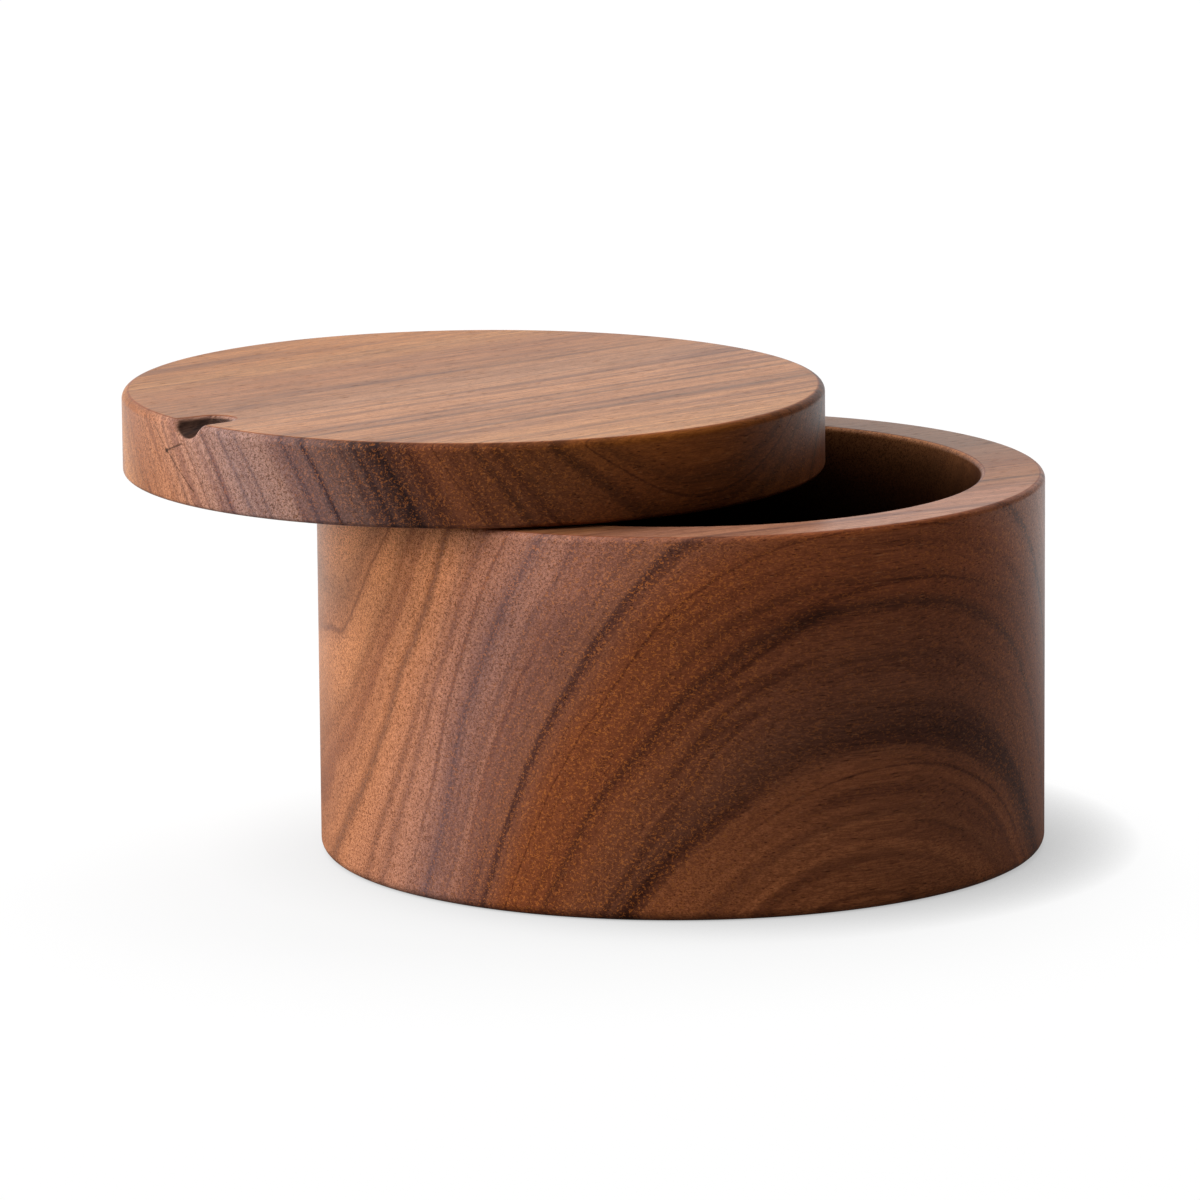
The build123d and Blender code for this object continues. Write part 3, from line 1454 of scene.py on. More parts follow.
@dataclass
class TurnedBody:
    """The tub: a turned block with a well, and a stepped hole for the pivot up through its back wall.

    Args:
        pivot: Where the pivot's axis stands in plan.
        timber: The wood that it is turned from.
        wall: Thickness of the wall.
        floor: Thickness of the floor.
        well_rounding: Radius of the well's inside corner.
        foot_rounding: Radius that eases the edge of the base.
        rim_outer_rounding: Radius that eases the rim's outer edge.
        rim_inner_rounding: Radius that eases the rim's inner edge.
        bore: Radius of the pivot's bore.
        counterbore: Radius of the counterbore for the screw's head.
        counterbore_depth: Depth of the counterbore.
        painted_shade_top: How dark the painted shade makes the well just under the rim, from 0 to 1.
        painted_shade_depth: How far down the well the rest of the painted shade comes in.
        painted_shade_floor: How dark the painted shade makes the well's floor and the foot of its wall.
        painted_shade_reach: How far down the well's wall the darkest painted shade ends, and where the foot's
            starts.
        painted_shade_rings: How far down the wall it has rings of vertices, to hold how dark the painted
            shade is.
        sides: How many sides its circles have.
        outside_chords: How many chords the arcs of its outside have.
        inside_chords: How many chords the arcs of its inside have.
    """

    pivot: tuple[float, float]
    timber: Timber
    wall: float = 10.6 * MM
    floor: float = 9.5 * MM
    well_rounding: float = 8.0 * MM
    foot_rounding: float = 1.8 * MM
    rim_outer_rounding: float = 1.1 * MM
    rim_inner_rounding: float = 0.9 * MM
    bore: float = 2.08 * MM
    counterbore: float = 4.15 * MM
    counterbore_depth: float = 7.8 * MM
    painted_shade_top: float = 0.8
    painted_shade_depth: float = 5.0 * MM
    painted_shade_floor: float = 0.8
    painted_shade_reach: tuple[float, float] = (20.0 * MM, 34.0 * MM)
    painted_shade_rings: Sequence[float] = tuple(drop * MM for drop in (1.0, 2.0, 4.0, 8.0, 16.0, 20.0, 34.0))
    sides: int = 360
    outside_chords: int = 8
    inside_chords: int = 10

    def build(self, effects: WoodEffects) -> bpy.types.Object:
        """Builds the body in place of its CAD node.

        Args:
            effects: The node groups of the woods.

        Returns:
            The body.
        """
        _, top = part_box("body")
        radius, height = top.x, top.z
        well = radius - self.wall
        turned = TurnedMesh((0.0, 0.0), even_bearings(self.sides))
        outside = (
            Corner(radius - self.foot_rounding - EDGE_SEAT, 0.0),
            Corner(radius, 0.0, self.foot_rounding),
            Corner(radius, height, self.rim_outer_rounding),
            Corner(radius - 2 * self.rim_outer_rounding, height),
        )
        wall_top = height - self.rim_inner_rounding
        inside = (
            Corner(well + 2 * self.rim_inner_rounding, height),
            Corner(well, height, self.rim_inner_rounding),
            *(Corner(well, wall_top - drop) for drop in self.painted_shade_rings),
            Corner(well, self.floor, self.well_rounding),
            Corner(well - 2 * self.well_rounding, self.floor),
        )
        base_edge, rim_outer_edge = turned.sweep(rounded_outline(outside, self.outside_chords))
        rim_inner_edge, floor_edge = turned.sweep(rounded_outline(inside, self.inside_chords))
        turned.fill(floor_edge)
        drilled = TurnedMesh(self.pivot, even_bearings(HOLE_SIDES))
        turned.absorb(drilled)
        mouth, shoulder = drilled.sweep(((self.counterbore, 0.0), (self.counterbore, self.counterbore_depth)))
        step, outlet = drilled.sweep(((self.bore, self.counterbore_depth), (self.bore, height)))
        drilled.band(shoulder, step)
        turned.fill(base_edge, mouth)
        turned.fill(rim_outer_edge, rim_inner_edge, outlet)
        # Painted shade: the well's inside is darkened, most of all part way down its wall, where it lies in
        # shade.
        turned.shade_recess(lambda point: self.well_shade(point, well, height))
        made = turned.finish("turned_body")
        made.data.materials.append(self.timber.material(effects))
        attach(made, Body.BASE.value)
        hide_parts("body")
        return made

    def well_shade(self, point: Vector, well: float, height: float) -> float:
        """Tells how dark the painted shade makes a point in the well, which is darkest part way down its
        wall.

        Args:
            point: The point.
            well: The well's radius.
            height: The rim's height.

        Returns:
            The darkness, and 0 outside the well.
        """
        inside = clamped((well - math.hypot(point.x, point.y)) / self.rim_inner_rounding + 1.0)
        if point.z < self.counterbore_depth + MM:
            return 0.0
        drop = height - self.rim_inner_rounding - point.z
        dark = 1.0 - (1.0 - self.painted_shade_top) * math.exp(-drop / self.painted_shade_depth)
        start, end = self.painted_shade_reach
        share = clamped((drop - start) / (end - start))
        return inside * (dark * (1.0 - share) + self.painted_shade_floor * share)


@dataclass(frozen=True)
class ThumbNotch:
    """A round-nosed groove in the lid's edge, ramped so that it is deepest at the edge.

    Args:
        closed_bearing: Where it is round the box when the lid is closed, in degrees.
        lid_swing: How far the lid is drawn open, in degrees.
        cutter: Radius of the round-nosed cutter.
        edge_depth: Its depth at the lid's edge.
        run: How far in from the edge the cutter's nose stops.
        ramp: How steeply the cutter rises inwards, in degrees.
        softening: How far its rim is eased.
        painted_darkness: How dark the painted shade makes its inside, from 0 to 1.
    """

    closed_bearing: float = 255.5
    lid_swing: float = 37.3
    cutter: float = 3.8 * MM
    edge_depth: float = 2.6 * MM
    run: float = 5.6 * MM
    ramp: float = 8.0
    softening: float = 0.9 * MM
    painted_darkness: float = 0.87

    @property
    def bearing(self) -> float:
        """Gives where it is round the lid as drawn, in degrees."""
        return self.closed_bearing - self.lid_swing

    def outward(self) -> Vector:
        """Gives the level direction from the lid's centre to the notch."""
        return Vector((math.cos(math.radians(self.bearing)), math.sin(math.radians(self.bearing)), 0.0))

    def reach(self) -> float:
        """Gives how far in from the lid's edge the notch and its eased rim go."""
        return self.run + self.cutter + self.softening

    def inside_cutter(self, point: Vector, nose: Vector) -> float:
        """Measures how deep a point is in the cutter's path.

        Args:
            point: The point.
            nose: The centre of the cutter's nose at the end of its run.

        Returns:
            The depth, below 0 outside the path.
        """
        slope = math.tan(math.radians(self.ramp))
        way_out = (self.outward() - Vector((0.0, 0.0, slope))).normalized()
        along = max((point - nose).dot(way_out), 0.0)
        return self.cutter - (point - nose - way_out * along).length

    def shade_for_push(self, pushed: float) -> float:
        """Tells how dark the painted shade makes a point that was pushed this far in, 0 where it was hardly
        pushed.
        """
        return clamped(2.0 * pushed / self.softening - 0.8) * self.painted_darkness


@dataclass
class SwivelLid:
    """The lid: a turned disc with eased edges, a thumb notch and a blind hole for the insert.

    Args:
        pivot: Where the pivot's axis stands in plan.
        timber: The wood that it is cut from.
        notch: The thumb notch.
        hairlines: A pin knot in its side, and the fine checks that run from it.
        top_rounding: Radius that eases the upper edge.
        under_rounding: Radius that eases the lower edge.
        insert_hole: Radius of the hole for the insert.
        insert_hole_depth: Depth of that hole.
        fine_step: Distance from vertex to vertex in and round the notch.
        coarse_step: Angle from vertex to vertex elsewhere, in degrees.
        chords: How many chords the arcs of its edge have.
        cut_passes: In how many passes at most a vertex is pushed to the notch's surface.
        cut_tolerance: How near to that surface is near enough.
    """

    pivot: tuple[float, float]
    timber: Timber
    notch: ThumbNotch = ThumbNotch()
    hairlines: Sequence[Hairline] = (
        Hairline((212.4, 212.8), (71.1, 70.9), 0.5, 0.95),
        Hairline((212.8, 217.1), (71.1, 72.7), 0.24, 0.7),
        Hairline((213.2, 220.2), (70.7, 65.4), 0.22, 0.6),
        Hairline((208.5, 212.3), (74.6, 71.4), 0.2, 0.45),
    )
    top_rounding: float = 1.4 * MM
    under_rounding: float = 0.8 * MM
    insert_hole: float = 2.8 * MM
    insert_hole_depth: float = 9.2 * MM
    fine_step: float = 0.16 * MM
    coarse_step: float = 1.5
    chords: int = 10
    cut_passes: int = 60
    cut_tolerance: float = 0.0005 * MM

    def __post_init__(self) -> None:
        """Reads the lid's size and place from the frame."""
        low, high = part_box("lid")
        self.radius = (high.x - low.x) / 2
        self.centre = ((low.x + high.x) / 2, (low.y + high.y) / 2)
        self.underside, self.top = low.z, high.z

    def bearings(self) -> list[float]:
        """Gives the bearings of the rings' vertices, close together round the notch."""
        middle = math.radians(self.notch.bearing)
        half = (self.notch.cutter + 1.5 * self.notch.softening) / (self.radius - self.notch.reach())
        fine = math.ceil(2 * half * self.radius / self.fine_step)
        coarse = math.ceil((2 * math.pi - 2 * half) / math.radians(self.coarse_step))
        near = [middle - half + 2 * half * step / fine for step in range(fine)]
        far = [middle + half + (2 * math.pi - 2 * half) * step / coarse for step in range(coarse)]
        return near + far

    def outline(self) -> list[tuple[float, float]]:
        """Gives the turned outline, with close points where the notch is cut."""
        corners = (
            Corner(self.radius - self.under_rounding - EDGE_SEAT, self.underside),
            Corner(self.radius, self.underside, self.under_rounding),
            Corner(self.radius, self.top, self.top_rounding),
            Corner(self.radius - self.notch.reach(), self.top),
        )
        shape = rounded_outline(corners, self.chords)
        lowest_cut = self.top - self.notch.edge_depth - 2 * self.notch.softening
        outline = [shape[0]]
        for (before, low), (after, high) in zip(shape, shape[1:]):
            start = clamped((lowest_cut - low) / (high - low)) if high > low else 0.0
            if 0.0 < start < 1.0:
                outline.append((before + (after - before) * start, low + (high - low) * start))
            length = math.hypot(after - before, high - low) * (1 - start)
            steps = max(1, math.ceil(length / self.fine_step)) if high > lowest_cut else 1
            for step in range(1, steps + 1):
                share = start + (1 - start) * step / steps
                outline.append((before + (after - before) * share, low + (high - low) * share))
        return outline

    def outside(self, point: Vector) -> float:
        """Measures how far a point is outside the lid's eased upper edge, before the notch is cut."""
        from_axis = math.hypot(point.x - self.centre[0], point.y - self.centre[1])
        across = from_axis - self.radius + self.top_rounding
        over = point.z - self.top + self.top_rounding
        return math.hypot(max(across, 0.0), max(over, 0.0)) + min(max(across, over), 0.0) - self.top_rounding

    def cut_surface(self, point: Vector, nose: Vector) -> float:
        """Measures how far a point is outside the lid once the notch is cut and its rim is eased.

        Args:
            point: The point.
            nose: The centre of the cutter's nose.

        Returns:
            The distance, 0 on the surface.
        """
        outside, cut = self.outside(point), self.notch.inside_cutter(point, nose)
        ease = self.notch.softening
        share = clamped(0.5 + 0.5 * (outside - cut) / ease)
        return outside * share + cut * (1 - share) + ease * share * (1 - share)

    def cut_notch(self, turned: TurnedMesh) -> None:
        """Pushes the vertices that lie in the notch down and inwards to its surface.

        Args:
            turned: The lid's mesh.
        """
        notch = self.notch
        height = self.top + notch.cutter - notch.edge_depth + notch.run * math.tan(math.radians(notch.ramp))
        middle = Vector((*self.centre, 0.0))
        nose = middle + notch.outward() * (self.radius - notch.run) + Vector((0.0, 0.0, height))
        for vertex in turned.mesh.verts:
            if notch.inside_cutter(vertex.co, nose) < -notch.softening or vertex.co.z < self.underside + MM:
                continue
            inward = (middle - Vector((vertex.co.x, vertex.co.y, 0.0))).normalized()
            inward = (inward - Vector((0.0, 0.0, 1.0))).normalized()
            pushed = 0.0
            for _ in range(self.cut_passes):
                gap = self.cut_surface(vertex.co, nose)
                vertex.co += inward * gap
                pushed += gap
                if gap < self.cut_tolerance:
                    break
            # Painted shade: the notch's inside is darkened, the more so the deeper the vertex was pushed in.
            vertex[turned.recess] = notch.shade_for_push(pushed)

    def build(self, effects: WoodEffects) -> bpy.types.Object:
        """Builds the lid in place of its CAD node.

        Args:
            effects: The node groups of the woods.

        Returns:
            The lid.
        """
        turned = TurnedMesh(self.centre, self.bearings())
        under_edge, top_edge = turned.sweep(self.outline())
        drilled = TurnedMesh(self.pivot, even_bearings(HOLE_SIDES))
        turned.absorb(drilled)
        hole_end = self.underside + self.insert_hole_depth
        mouth, bottom = drilled.sweep(((self.insert_hole, self.underside), (self.insert_hole, hole_end)))
        drilled.fill(bottom)
        turned.fill(top_edge)
        turned.fill(under_edge, mouth)
        self.cut_notch(turned)
        made = turned.finish("swivel_lid")
        lines = [(line, line.ends(self.centre, self.radius)) for line in self.hairlines]
        made.data.materials.append(replace(self.timber, hairlines=lines).material(effects))
        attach(made, Body.LID.value)
        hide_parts("lid")
        return made


@dataclass
class PivotHardware:
    """The screw, insert and washers of the swivel, which keep their CAD shapes.

    Args:
        finishes: The finish of each CAD node.
    """

    finishes: Mapping[str, Metal | Nylon]

    def dress(self, nodes: Mapping[str, bpy.types.Object]) -> None:
        """Gives each piece its finish.

        Args:
            nodes: The CAD nodes by name.
        """
        for name, finish in self.finishes.items():
            data = nodes[name].data
            data.materials.clear()
            data.materials.append(finish.material())
            log.info("%s dressed in %s", name, finish.name)


class Lit(Enum):
    """What a lamp's light falls on."""

    BOX = "box"
    FLOOR = "floor"


@dataclass(frozen=True)
class Softbox:
    """A large soft lamp.

    Args:
        name: Its name.
        bearing: Which way it stands from the box, in degrees.
        elevation: How high it stands, in degrees.
        distance: How far it is from the box.
        width: Its width.
        height: Its height.
        power: Its power, in watts.
        falls_on: What its light falls on.
        mirrored: Whether it shows as a glint on the oiled wood.
    """

    name: str
    bearing: float
    elevation: float
    distance: float
    width: float
    height: float
    power: float
    falls_on: Lit = Lit.BOX
    mirrored: bool = True

    def place(self, aim: Vector, lit: Mapping[Lit, bpy.types.Collection]) -> bpy.types.Object:
        """Puts the lamp up.

        Args:
            aim: The point that it faces.
            lit: What each kind of lamp lights.

        Returns:
            The lamp.
        """
        bearing, elevation = math.radians(self.bearing), math.radians(self.elevation)
        way = Vector(
            (
                math.cos(bearing) * math.cos(elevation),
                math.sin(bearing) * math.cos(elevation),
                math.sin(elevation),
            )
        )
        lamp = bpy.data.lights.new(self.name, "AREA")
        lamp.shape = "RECTANGLE"
        lamp.size, lamp.size_y = self.width, self.height
        lamp.energy = self.power
        made = bpy.data.objects.new(self.name, lamp)
        made.location = aim + way * self.distance
        made.rotation_euler = way.to_track_quat("Z", "Y").to_euler()
        made.light_linking.receiver_collection = lit[self.falls_on]
        made.visible_glossy = self.mirrored
        bpy.context.scene.collection.objects.link(made)
        return made


@dataclass
class Studio:
    """A pale floor, a white surround and soft lamps.

    Args:
        softboxes: The lamps.
        floor_radius: How far the floor reaches.
        floor_sides: How many sides the floor's circle has.
        floor_colour: The floor's colour to the eye.
        floor_bounce: The floor's colour as it lights the box.
        floor_roughness: Roughness of the floor.
        floor_gloss: How much light the floor reflects, as the shader's specular level.
        shadow_share: How much of the floor's look is its own light and shade; the rest is white with a
            painted shadow.
        contact_reach: How far the painted shadow's dark line where the box meets the floor spreads.
        contact_depth: How dark that line is.
        lee_reach: How far the painted shadow's soft dark patch on the side away from the lamps spreads.
        lee_depth: How dark that patch is.
        lee_side: The way that is looked at from the floor for that patch.
        bright_side: Where the room is brightest.
        bright_edge: How squarely a way faces the bright side where its light starts and where it is full.
        ambient_low: The light from the side of the room opposite.
        ambient_high: The light from the bright side.
        mirrored_round: How white the surround is in a reflection at its sides.
        mirrored_behind: How white it is low behind the box.
        mirrored_near: How white the floor in front of the box is in a reflection; behind it is plain white.
        near_edge: How far behind the box's middle the floor starts to be whiter, and is plain white.
        behind_edge: How squarely a way faces back where the white behind starts and where it is full.
        overhead_edge: How squarely it faces up where the white overhead starts and where it is full.
        overhead_sides: How far it faces right where that white starts to fade and where it has faded.
        overhead_right: How much of that white is left at the right.
    """

    softboxes: Sequence[Softbox]
    floor_radius: float = 3.0
    floor_sides: int = 96
    floor_colour: Colour = (0.8, 0.8, 0.8)
    floor_bounce: Colour = (0.4, 0.4, 0.4)
    floor_roughness: float = 0.6
    floor_gloss: float = 0.2
    shadow_share: float = 0.09
    contact_reach: float = 22 * MM
    contact_depth: float = 0.17
    lee_reach: float = 16.5 * MM
    lee_depth: float = 0.62
    lee_side: Vector = Vector((-1.0, 0.0, 0.15))
    bright_side: Vector = Vector((-0.85, 0.2, 0.5))
    bright_edge: tuple[float, float] = (-0.4, 1.0)
    ambient_low: float = 0.03
    ambient_high: float = 0.75
    mirrored_round: float = 0.1
    mirrored_behind: float = 0.9
    mirrored_near: float = 0.1
    near_edge: tuple[float, float] = (0.0, 0.3)
    behind_edge: tuple[float, float] = (0.75, 1.0)
    overhead_edge: tuple[float, float] = (0.3, 0.9)
    overhead_sides: tuple[float, float] = (-0.5, 0.1)
    overhead_right: float = 0.2

    def build(self, aim: Vector, pieces: Sequence[bpy.types.Object]) -> None:
        """Builds the studio.

        Args:
            aim: The point that the lamps face.
            pieces: The pieces of the box.
        """
        lit = {kind: bpy.data.collections.new("lit_" + kind.value) for kind in Lit}
        lit[Lit.FLOOR].objects.link(self.lay_floor())
        for piece in pieces:
            lit[Lit.BOX].objects.link(piece)
        for softbox in self.softboxes:
            softbox.place(aim, lit)
        self.light_surround()

    def seen_directly(self, graph: Graph) -> Socket:
        """Gives 1 for what the camera sees directly, in a reflection or through glass."""
        rays = graph.node("LightPath").outputs
        seen = graph.math(Op.MAXIMUM, rays["Is Camera Ray"], rays["Is Glossy Ray"])
        return graph.math(Op.MAXIMUM, seen, rays["Is Transmission Ray"])

    def closeness(self, graph: Graph, reach: float, towards: Vector) -> Socket:
        """Measures how much the box crowds a place on the floor.

        Args:
            graph: The floor's graph.
            reach: How far off the box still counts.
            towards: The way that is looked at from the floor.

        Returns:
            The socket of the closeness, 0 in the open.
        """
        look = graph.node("AmbientOcclusion", samples=8)
        graph.join(reach, look.inputs["Distance"])
        graph.join(graph.vector(*towards.normalized()), look.inputs["Normal"])
        return graph.math(Op.SUBTRACT, 1.0, look.outputs["AO"])

    def lay_floor(self) -> bpy.types.Object:
        """Lays the floor, white to the eye but for a painted shadow of the box, over a small share of real
        light and shade.
        """
        shape = TurnedMesh((0.0, 0.0), even_bearings(self.floor_sides))
        shape.fill(shape.ring(self.floor_radius, 0.0))
        floor = shape.finish("floor")
        material, graph, shader = new_material("pale_floor")
        bounced = graph.node("LightPath").outputs["Is Diffuse Ray"]
        tone = graph.blend(Mixing.MIX, bounced, self.floor_colour, self.floor_bounce)
        graph.join(tone, shader.inputs["Base Color"])
        shader.inputs["Roughness"].default_value = self.floor_roughness
        shader.inputs["Specular IOR Level"].default_value = self.floor_gloss
        contact = self.closeness(graph, self.contact_reach, Vector((0.0, 0.0, 1.0)))
        lee = self.closeness(graph, self.lee_reach, self.lee_side)
        # Painted shadow: the white is darkened where the box crowds the floor, drawn from occlusion and not
        # from the lamps.
        shade = graph.math(
            Op.ADD,
            graph.product(contact, self.contact_depth),
            graph.product(lee, self.lee_depth),
        )
        _, depth, _ = graph.parts(graph.node("TexCoord").outputs["Object"])
        mirrored = graph.spread(depth, *self.near_edge, self.mirrored_near, 1.0)
        in_mirror = graph.node("LightPath").outputs["Is Glossy Ray"]
        seen_white = graph.node("Mix", data_type="FLOAT")
        graph.join(in_mirror, seen_white.inputs[0])
        graph.join(1.0, seen_white.inputs[2])
        graph.join(mirrored, seen_white.inputs[3])
        white = graph.node("Emission")
        lit = graph.product(graph.math(Op.SUBTRACT, 1.0, shade, clamp=True), seen_white.outputs[0])
        graph.join(lit, white.inputs["Strength"])
        mixed = graph.node("MixShader")
        share = graph.product(self.seen_directly(graph), 1.0 - self.shadow_share)
        graph.join(share, mixed.inputs[0])
        graph.join(shader.outputs[0], mixed.inputs[1])
        graph.join(white.outputs[0], mixed.inputs[2])
        graph.join(mixed.outputs[0], material.node_tree.nodes["Material Output"].inputs["Surface"])
        floor.data.materials.append(material)
        return floor

    def light_surround(self) -> None:
        """Sets the world: white to the eye, and a soft light on the box, most of it from the bright side."""
        world = bpy.data.worlds.new("surround")
        bpy.context.scene.world = world
        world.use_nodes = True
        graph = Graph(world.node_tree)
        background = world.node_tree.nodes["Background"]
        background.inputs["Color"].default_value = (1.0, 1.0, 1.0, 1.0)
        way = graph.node("TexCoord").outputs["Generated"]
        facing = graph.vector_math(VectorOp.DOT_PRODUCT, way, self.bright_side.normalized())
        ambient = graph.spread(facing, *self.bright_edge, self.ambient_low, self.ambient_high)
        side, behind, height = graph.parts(way)
        rays = graph.node("LightPath").outputs
        overhead = graph.product(
            graph.spread(height, *self.overhead_edge),
            graph.spread(side, *self.overhead_sides, 1.0, self.overhead_right),
        )
        low_behind = graph.spread(behind, *self.behind_edge, self.mirrored_round, self.mirrored_behind)
        mirrored = graph.product(rays["Is Glossy Ray"], graph.math(Op.MAXIMUM, low_behind, overhead))
        plain = graph.math(Op.MAXIMUM, rays["Is Camera Ray"], rays["Is Transmission Ray"])
        seen = graph.math(Op.MAXIMUM, plain, mirrored)
        graph.join(graph.math(Op.MAXIMUM, ambient, seen), background.inputs["Strength"])


@dataclass(frozen=True)
class Viewpoint:
    """The camera: a long lens, a little above the box.

    Args:
        place: Where it stands.
        turn: How far it looks to the left of +Y, in radians.
        dip: How far it looks down, in radians.
        roll: How far it leans, in radians.
        lens: Focal length, in millimetres.
        sensor: Width of its sensor, in millimetres.
        clip: The nearest and the farthest that it sees.
    """

    place: Vector
    turn: float
    dip: float
    roll: float
    lens: float
    sensor: float = 36.0
    clip: tuple[float, float] = (0.05, 20.0)

    def build(self) -> bpy.types.Object:
        """Makes the camera and looks through it."""
        forward = Vector(
            (
                -math.sin(self.turn) * math.cos(self.dip),
                math.cos(self.turn) * math.cos(self.dip),
                -math.sin(self.dip),
            )
        )
        level = Vector((math.cos(self.turn), math.sin(self.turn), 0.0))
        upward = level.cross(forward)
        right = level * math.cos(self.roll) + upward * math.sin(self.roll)
        up = upward * math.cos(self.roll) - level * math.sin(self.roll)
        data = bpy.data.cameras.new("camera")
        data.sensor_width = self.sensor
        data.lens = self.lens
        data.clip_start, data.clip_end = self.clip
        made = bpy.data.objects.new("camera", data)
        facing = Matrix((right, up, -forward)).transposed().to_4x4()
        made.matrix_world = Matrix.Translation(self.place) @ facing
        bpy.context.scene.collection.objects.link(made)
        bpy.context.scene.camera = made
        return made


BODY_TIMBER = Timber(
    name="body_wood",
    fibre_bearing=31.75,
    heart=(105.1, -76.2),
    tones=(
        (69.0, (0.56, 0.185, 0.07)),
        (76.0, (0.48, 0.155, 0.055)),
        (80.0, (0.27, 0.092, 0.042)),
        (88.0, (0.235, 0.064, 0.023)),
        (92.0, (0.255, 0.072, 0.026)),
        (95.0, (0.255, 0.098, 0.058)),
        (100.0, (0.38, 0.17, 0.115)),
        (104.0, (0.335, 0.170, 0.135)),
        (108.0, (0.49, 0.222, 0.142)),
        (113.0, (0.56, 0.23, 0.112)),
        (122.0, (0.71, 0.30, 0.125)),
        (134.0, (0.62, 0.27, 0.12)),
        (146.0, (0.52, 0.235, 0.12)),
    ),
    lit_level_tones=(
        (90.0, (0.48, 0.23, 0.145)),
        (99.0, (0.51, 0.23, 0.135)),
        (104.0, (0.42, 0.17, 0.07)),
        (112.0, (0.40, 0.155, 0.065)),
        (121.0, (0.28, 0.15, 0.09)),
    ),
    bands=(
        Band(66.4, 0.7, 0.6, 0.35),
        Band(72.7, 0.8, 0.6, 0.3),
        Band(78.8, 2.2, 2.4, 0.65),
        Band(80.9, 0.5, 0.5, 0.35),
        Band(83.7, 0.5, 0.5, 0.3),
        Band(87.0, 0.7, 0.4, 0.95),
        Band(88.8, 0.5, 0.4, 0.45),
        Band(94.9, 0.6, 0.4, 1.0),
        Band(96.8, 0.4, 0.4, 0.4),
        Band(98.3, 0.4, 0.4, 0.35),
        Band(100.9, 0.4, 0.5, 0.7),
        Band(104.2, 0.8, 0.8, 0.9),
        Band(106.6, 0.4, 0.4, 0.4),
        Band(109.2, 0.6, 0.6, 0.5),
        Band(110.6, 0.4, 0.4, 0.45),
        Band(113.4, 0.5, 0.5, 0.8),
        Band(114.8, 0.4, 0.4, 0.15),
        Band(117.2, 0.5, 0.5, 0.35),
        Band(119.8, 0.6, 0.8, 0.4),
        Band(125.6, 0.6, 0.8, 0.45),
        Band(129.9, 1.0, 0.5, 0.55),
        Band(132.0, 0.4, 0.4, 0.35),
        Band(138.4, 0.7, 0.9, 0.5),
        Band(145.1, 1.1, 0.6, 0.65),
        Band(147.0, 0.4, 0.5, 0.4),
    ),
    streak=(0.34, 0.37, 0.5),
    pale_band=(46.0, 56.0),
    flare=0.094,
    flare_start=18.9,
    flare_reach=56.0,
    lean=0.189,
    curl=0.00263,
    squash=0.609,
)

LID_TIMBER = Timber(
    name="lid_wood",
    fibre_bearing=42.0,
    heart=(-183.4, -28.5),
    tones=(
        (160.0, (0.50, 0.19, 0.052)),
        (168.0, (0.32, 0.115, 0.046)),
        (176.0, (0.50, 0.215, 0.112)),
        (186.0, (0.46, 0.25, 0.185)),
        (193.0, (0.35, 0.21, 0.18)),
        (200.0, (0.38, 0.215, 0.17)),
        (206.0, (0.20, 0.11, 0.094)),
        (215.0, (0.09, 0.042, 0.03)),
        (221.0, (0.21, 0.066, 0.029)),
        (228.0, (0.175, 0.054, 0.021)),
        (233.0, (0.22, 0.068, 0.02)),
        (240.0, (0.42, 0.125, 0.021)),
    ),
    lit_level_tones=(
        (151.0, (0.53, 0.20, 0.049)),
        (160.0, (0.56, 0.235, 0.071)),
        (166.0, (0.46, 0.18, 0.063)),
        (170.0, (0.45, 0.175, 0.063)),
        (180.0, (0.46, 0.195, 0.08)),
        (188.0, (0.50, 0.23, 0.11)),
        (195.0, (0.61, 0.275, 0.123)),
        (212.0, (0.53, 0.23, 0.098)),
        (235.0, (0.65, 0.295, 0.118)),
    ),
    bands=(
        Band(164.8, 0.4, 0.4, 0.25),
        Band(167.2, 0.5, 0.5, 0.45),
        Band(172.5, 0.5, 0.5, 0.3),
        Band(177.2, 0.6, 0.4, 0.35),
        Band(179.2, 0.6, 0.6, 0.5),
        Band(184.8, 0.6, 0.5, 0.35),
        Band(188.8, 0.5, 0.4, 0.6),
        Band(192.7, 0.6, 0.4, 0.8),
        Band(195.8, 0.6, 0.4, 0.75),
        Band(203.4, 1.0, 0.6, 0.8),
        Band(206.3, 1.1, 0.8, 0.9),
        Band(212.8, 0.8, 0.6, 0.75),
        Band(215.8, 1.3, 0.9, 1.0),
        Band(218.3, 0.4, 0.4, 0.35),
        Band(226.8, 0.9, 0.6, 0.65),
        Band(229.5, 0.5, 0.5, 0.3),
        Band(233.4, 0.8, 0.7, 0.5),
        Band(236.2, 0.6, 0.5, 0.4),
    ),
    streak=(0.34, 0.38, 0.5),
    fleck_glints=0.6,
)


VIEWPOINT = Viewpoint(
    place=Vector((0.0, -1.33063, 0.29786)),
    turn=0.0101,
    dip=0.19086,
    roll=-0.0082,
    lens=246.0,
)

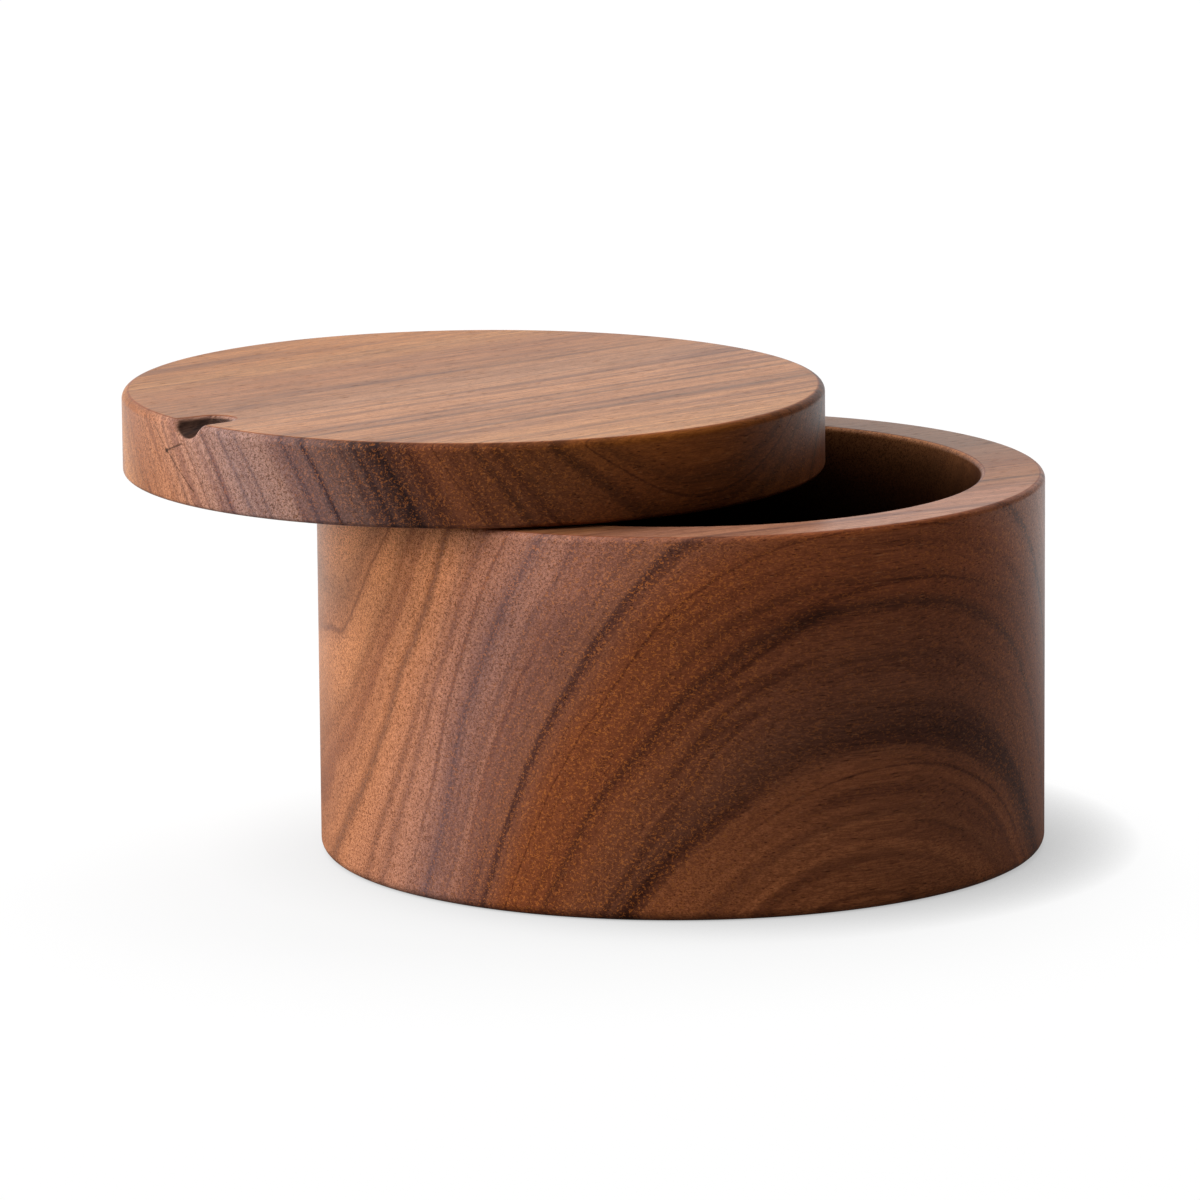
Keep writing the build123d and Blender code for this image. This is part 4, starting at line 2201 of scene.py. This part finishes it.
HARDWARE_FINISHES = {
    "pivot_screw": Metal("bright_steel", (0.62, 0.61, 0.6), (0.42, 0.41, 0.4), 0.25),
    "flat_washer": Metal("washer_steel", (0.6, 0.6, 0.59), (0.4, 0.39, 0.38), 0.3),
    "spring_washer": Metal("spring_steel", (0.45, 0.45, 0.46), (0.28, 0.27, 0.27), 0.35),
    "lid_insert": Metal("insert_brass", (0.78, 0.58, 0.27), (0.5, 0.34, 0.16), 0.28),
    "thrust_washer": Nylon("washer_nylon", (0.85, 0.83, 0.77), (0.74, 0.69, 0.58)),
}

# The point that the lamps face, near the middle of the box
LAMP_AIM = Vector((0.0, 0.0, 0.04))

SOFTBOXES = (
    Softbox(
        "key",
        bearing=200.0,
        elevation=25.0,
        distance=1.6,
        width=1.2,
        height=1.0,
        power=22.0,
        mirrored=False,
    ),
    Softbox(
        "high_side",
        bearing=185.0,
        elevation=45.0,
        distance=1.5,
        width=0.8,
        height=0.8,
        power=13.0,
        mirrored=False,
    ),
    Softbox(
        "back_edge",
        bearing=50.0,
        elevation=20.0,
        distance=1.6,
        width=0.6,
        height=0.9,
        power=11.0,
        mirrored=False,
    ),
    Softbox(
        "floor_wash",
        bearing=95.0,
        elevation=60.0,
        distance=1.8,
        width=1.2,
        height=1.0,
        power=42.0,
        falls_on=Lit.FLOOR,
    ),
)


def main() -> None:
    """Builds the box, the studio and the camera."""
    logging.basicConfig(level=logging.INFO, format="%(name)s: %(message)s")
    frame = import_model()
    pivot = tuple(frame["joints"][0]["pos_m"][:2])
    effects = WoodEffects.build()

    camera = VIEWPOINT.build()
    log.info("%s in place", camera.name)
    body = TurnedBody(pivot, BODY_TIMBER).build(effects)
    log.info("%s built with %d faces", body.name, len(body.data.polygons))
    lid = SwivelLid(pivot, LID_TIMBER).build(effects)
    log.info("%s built with %d faces", lid.name, len(lid.data.polygons))
    PivotHardware(HARDWARE_FINISHES).dress(frame["nodes"])
    Studio(SOFTBOXES).build(LAMP_AIM, [body, lid, *frame["nodes"].values()])

    view = bpy.context.scene.view_settings
    view.view_transform = "Standard"


if __name__ == "__main__":
    main()
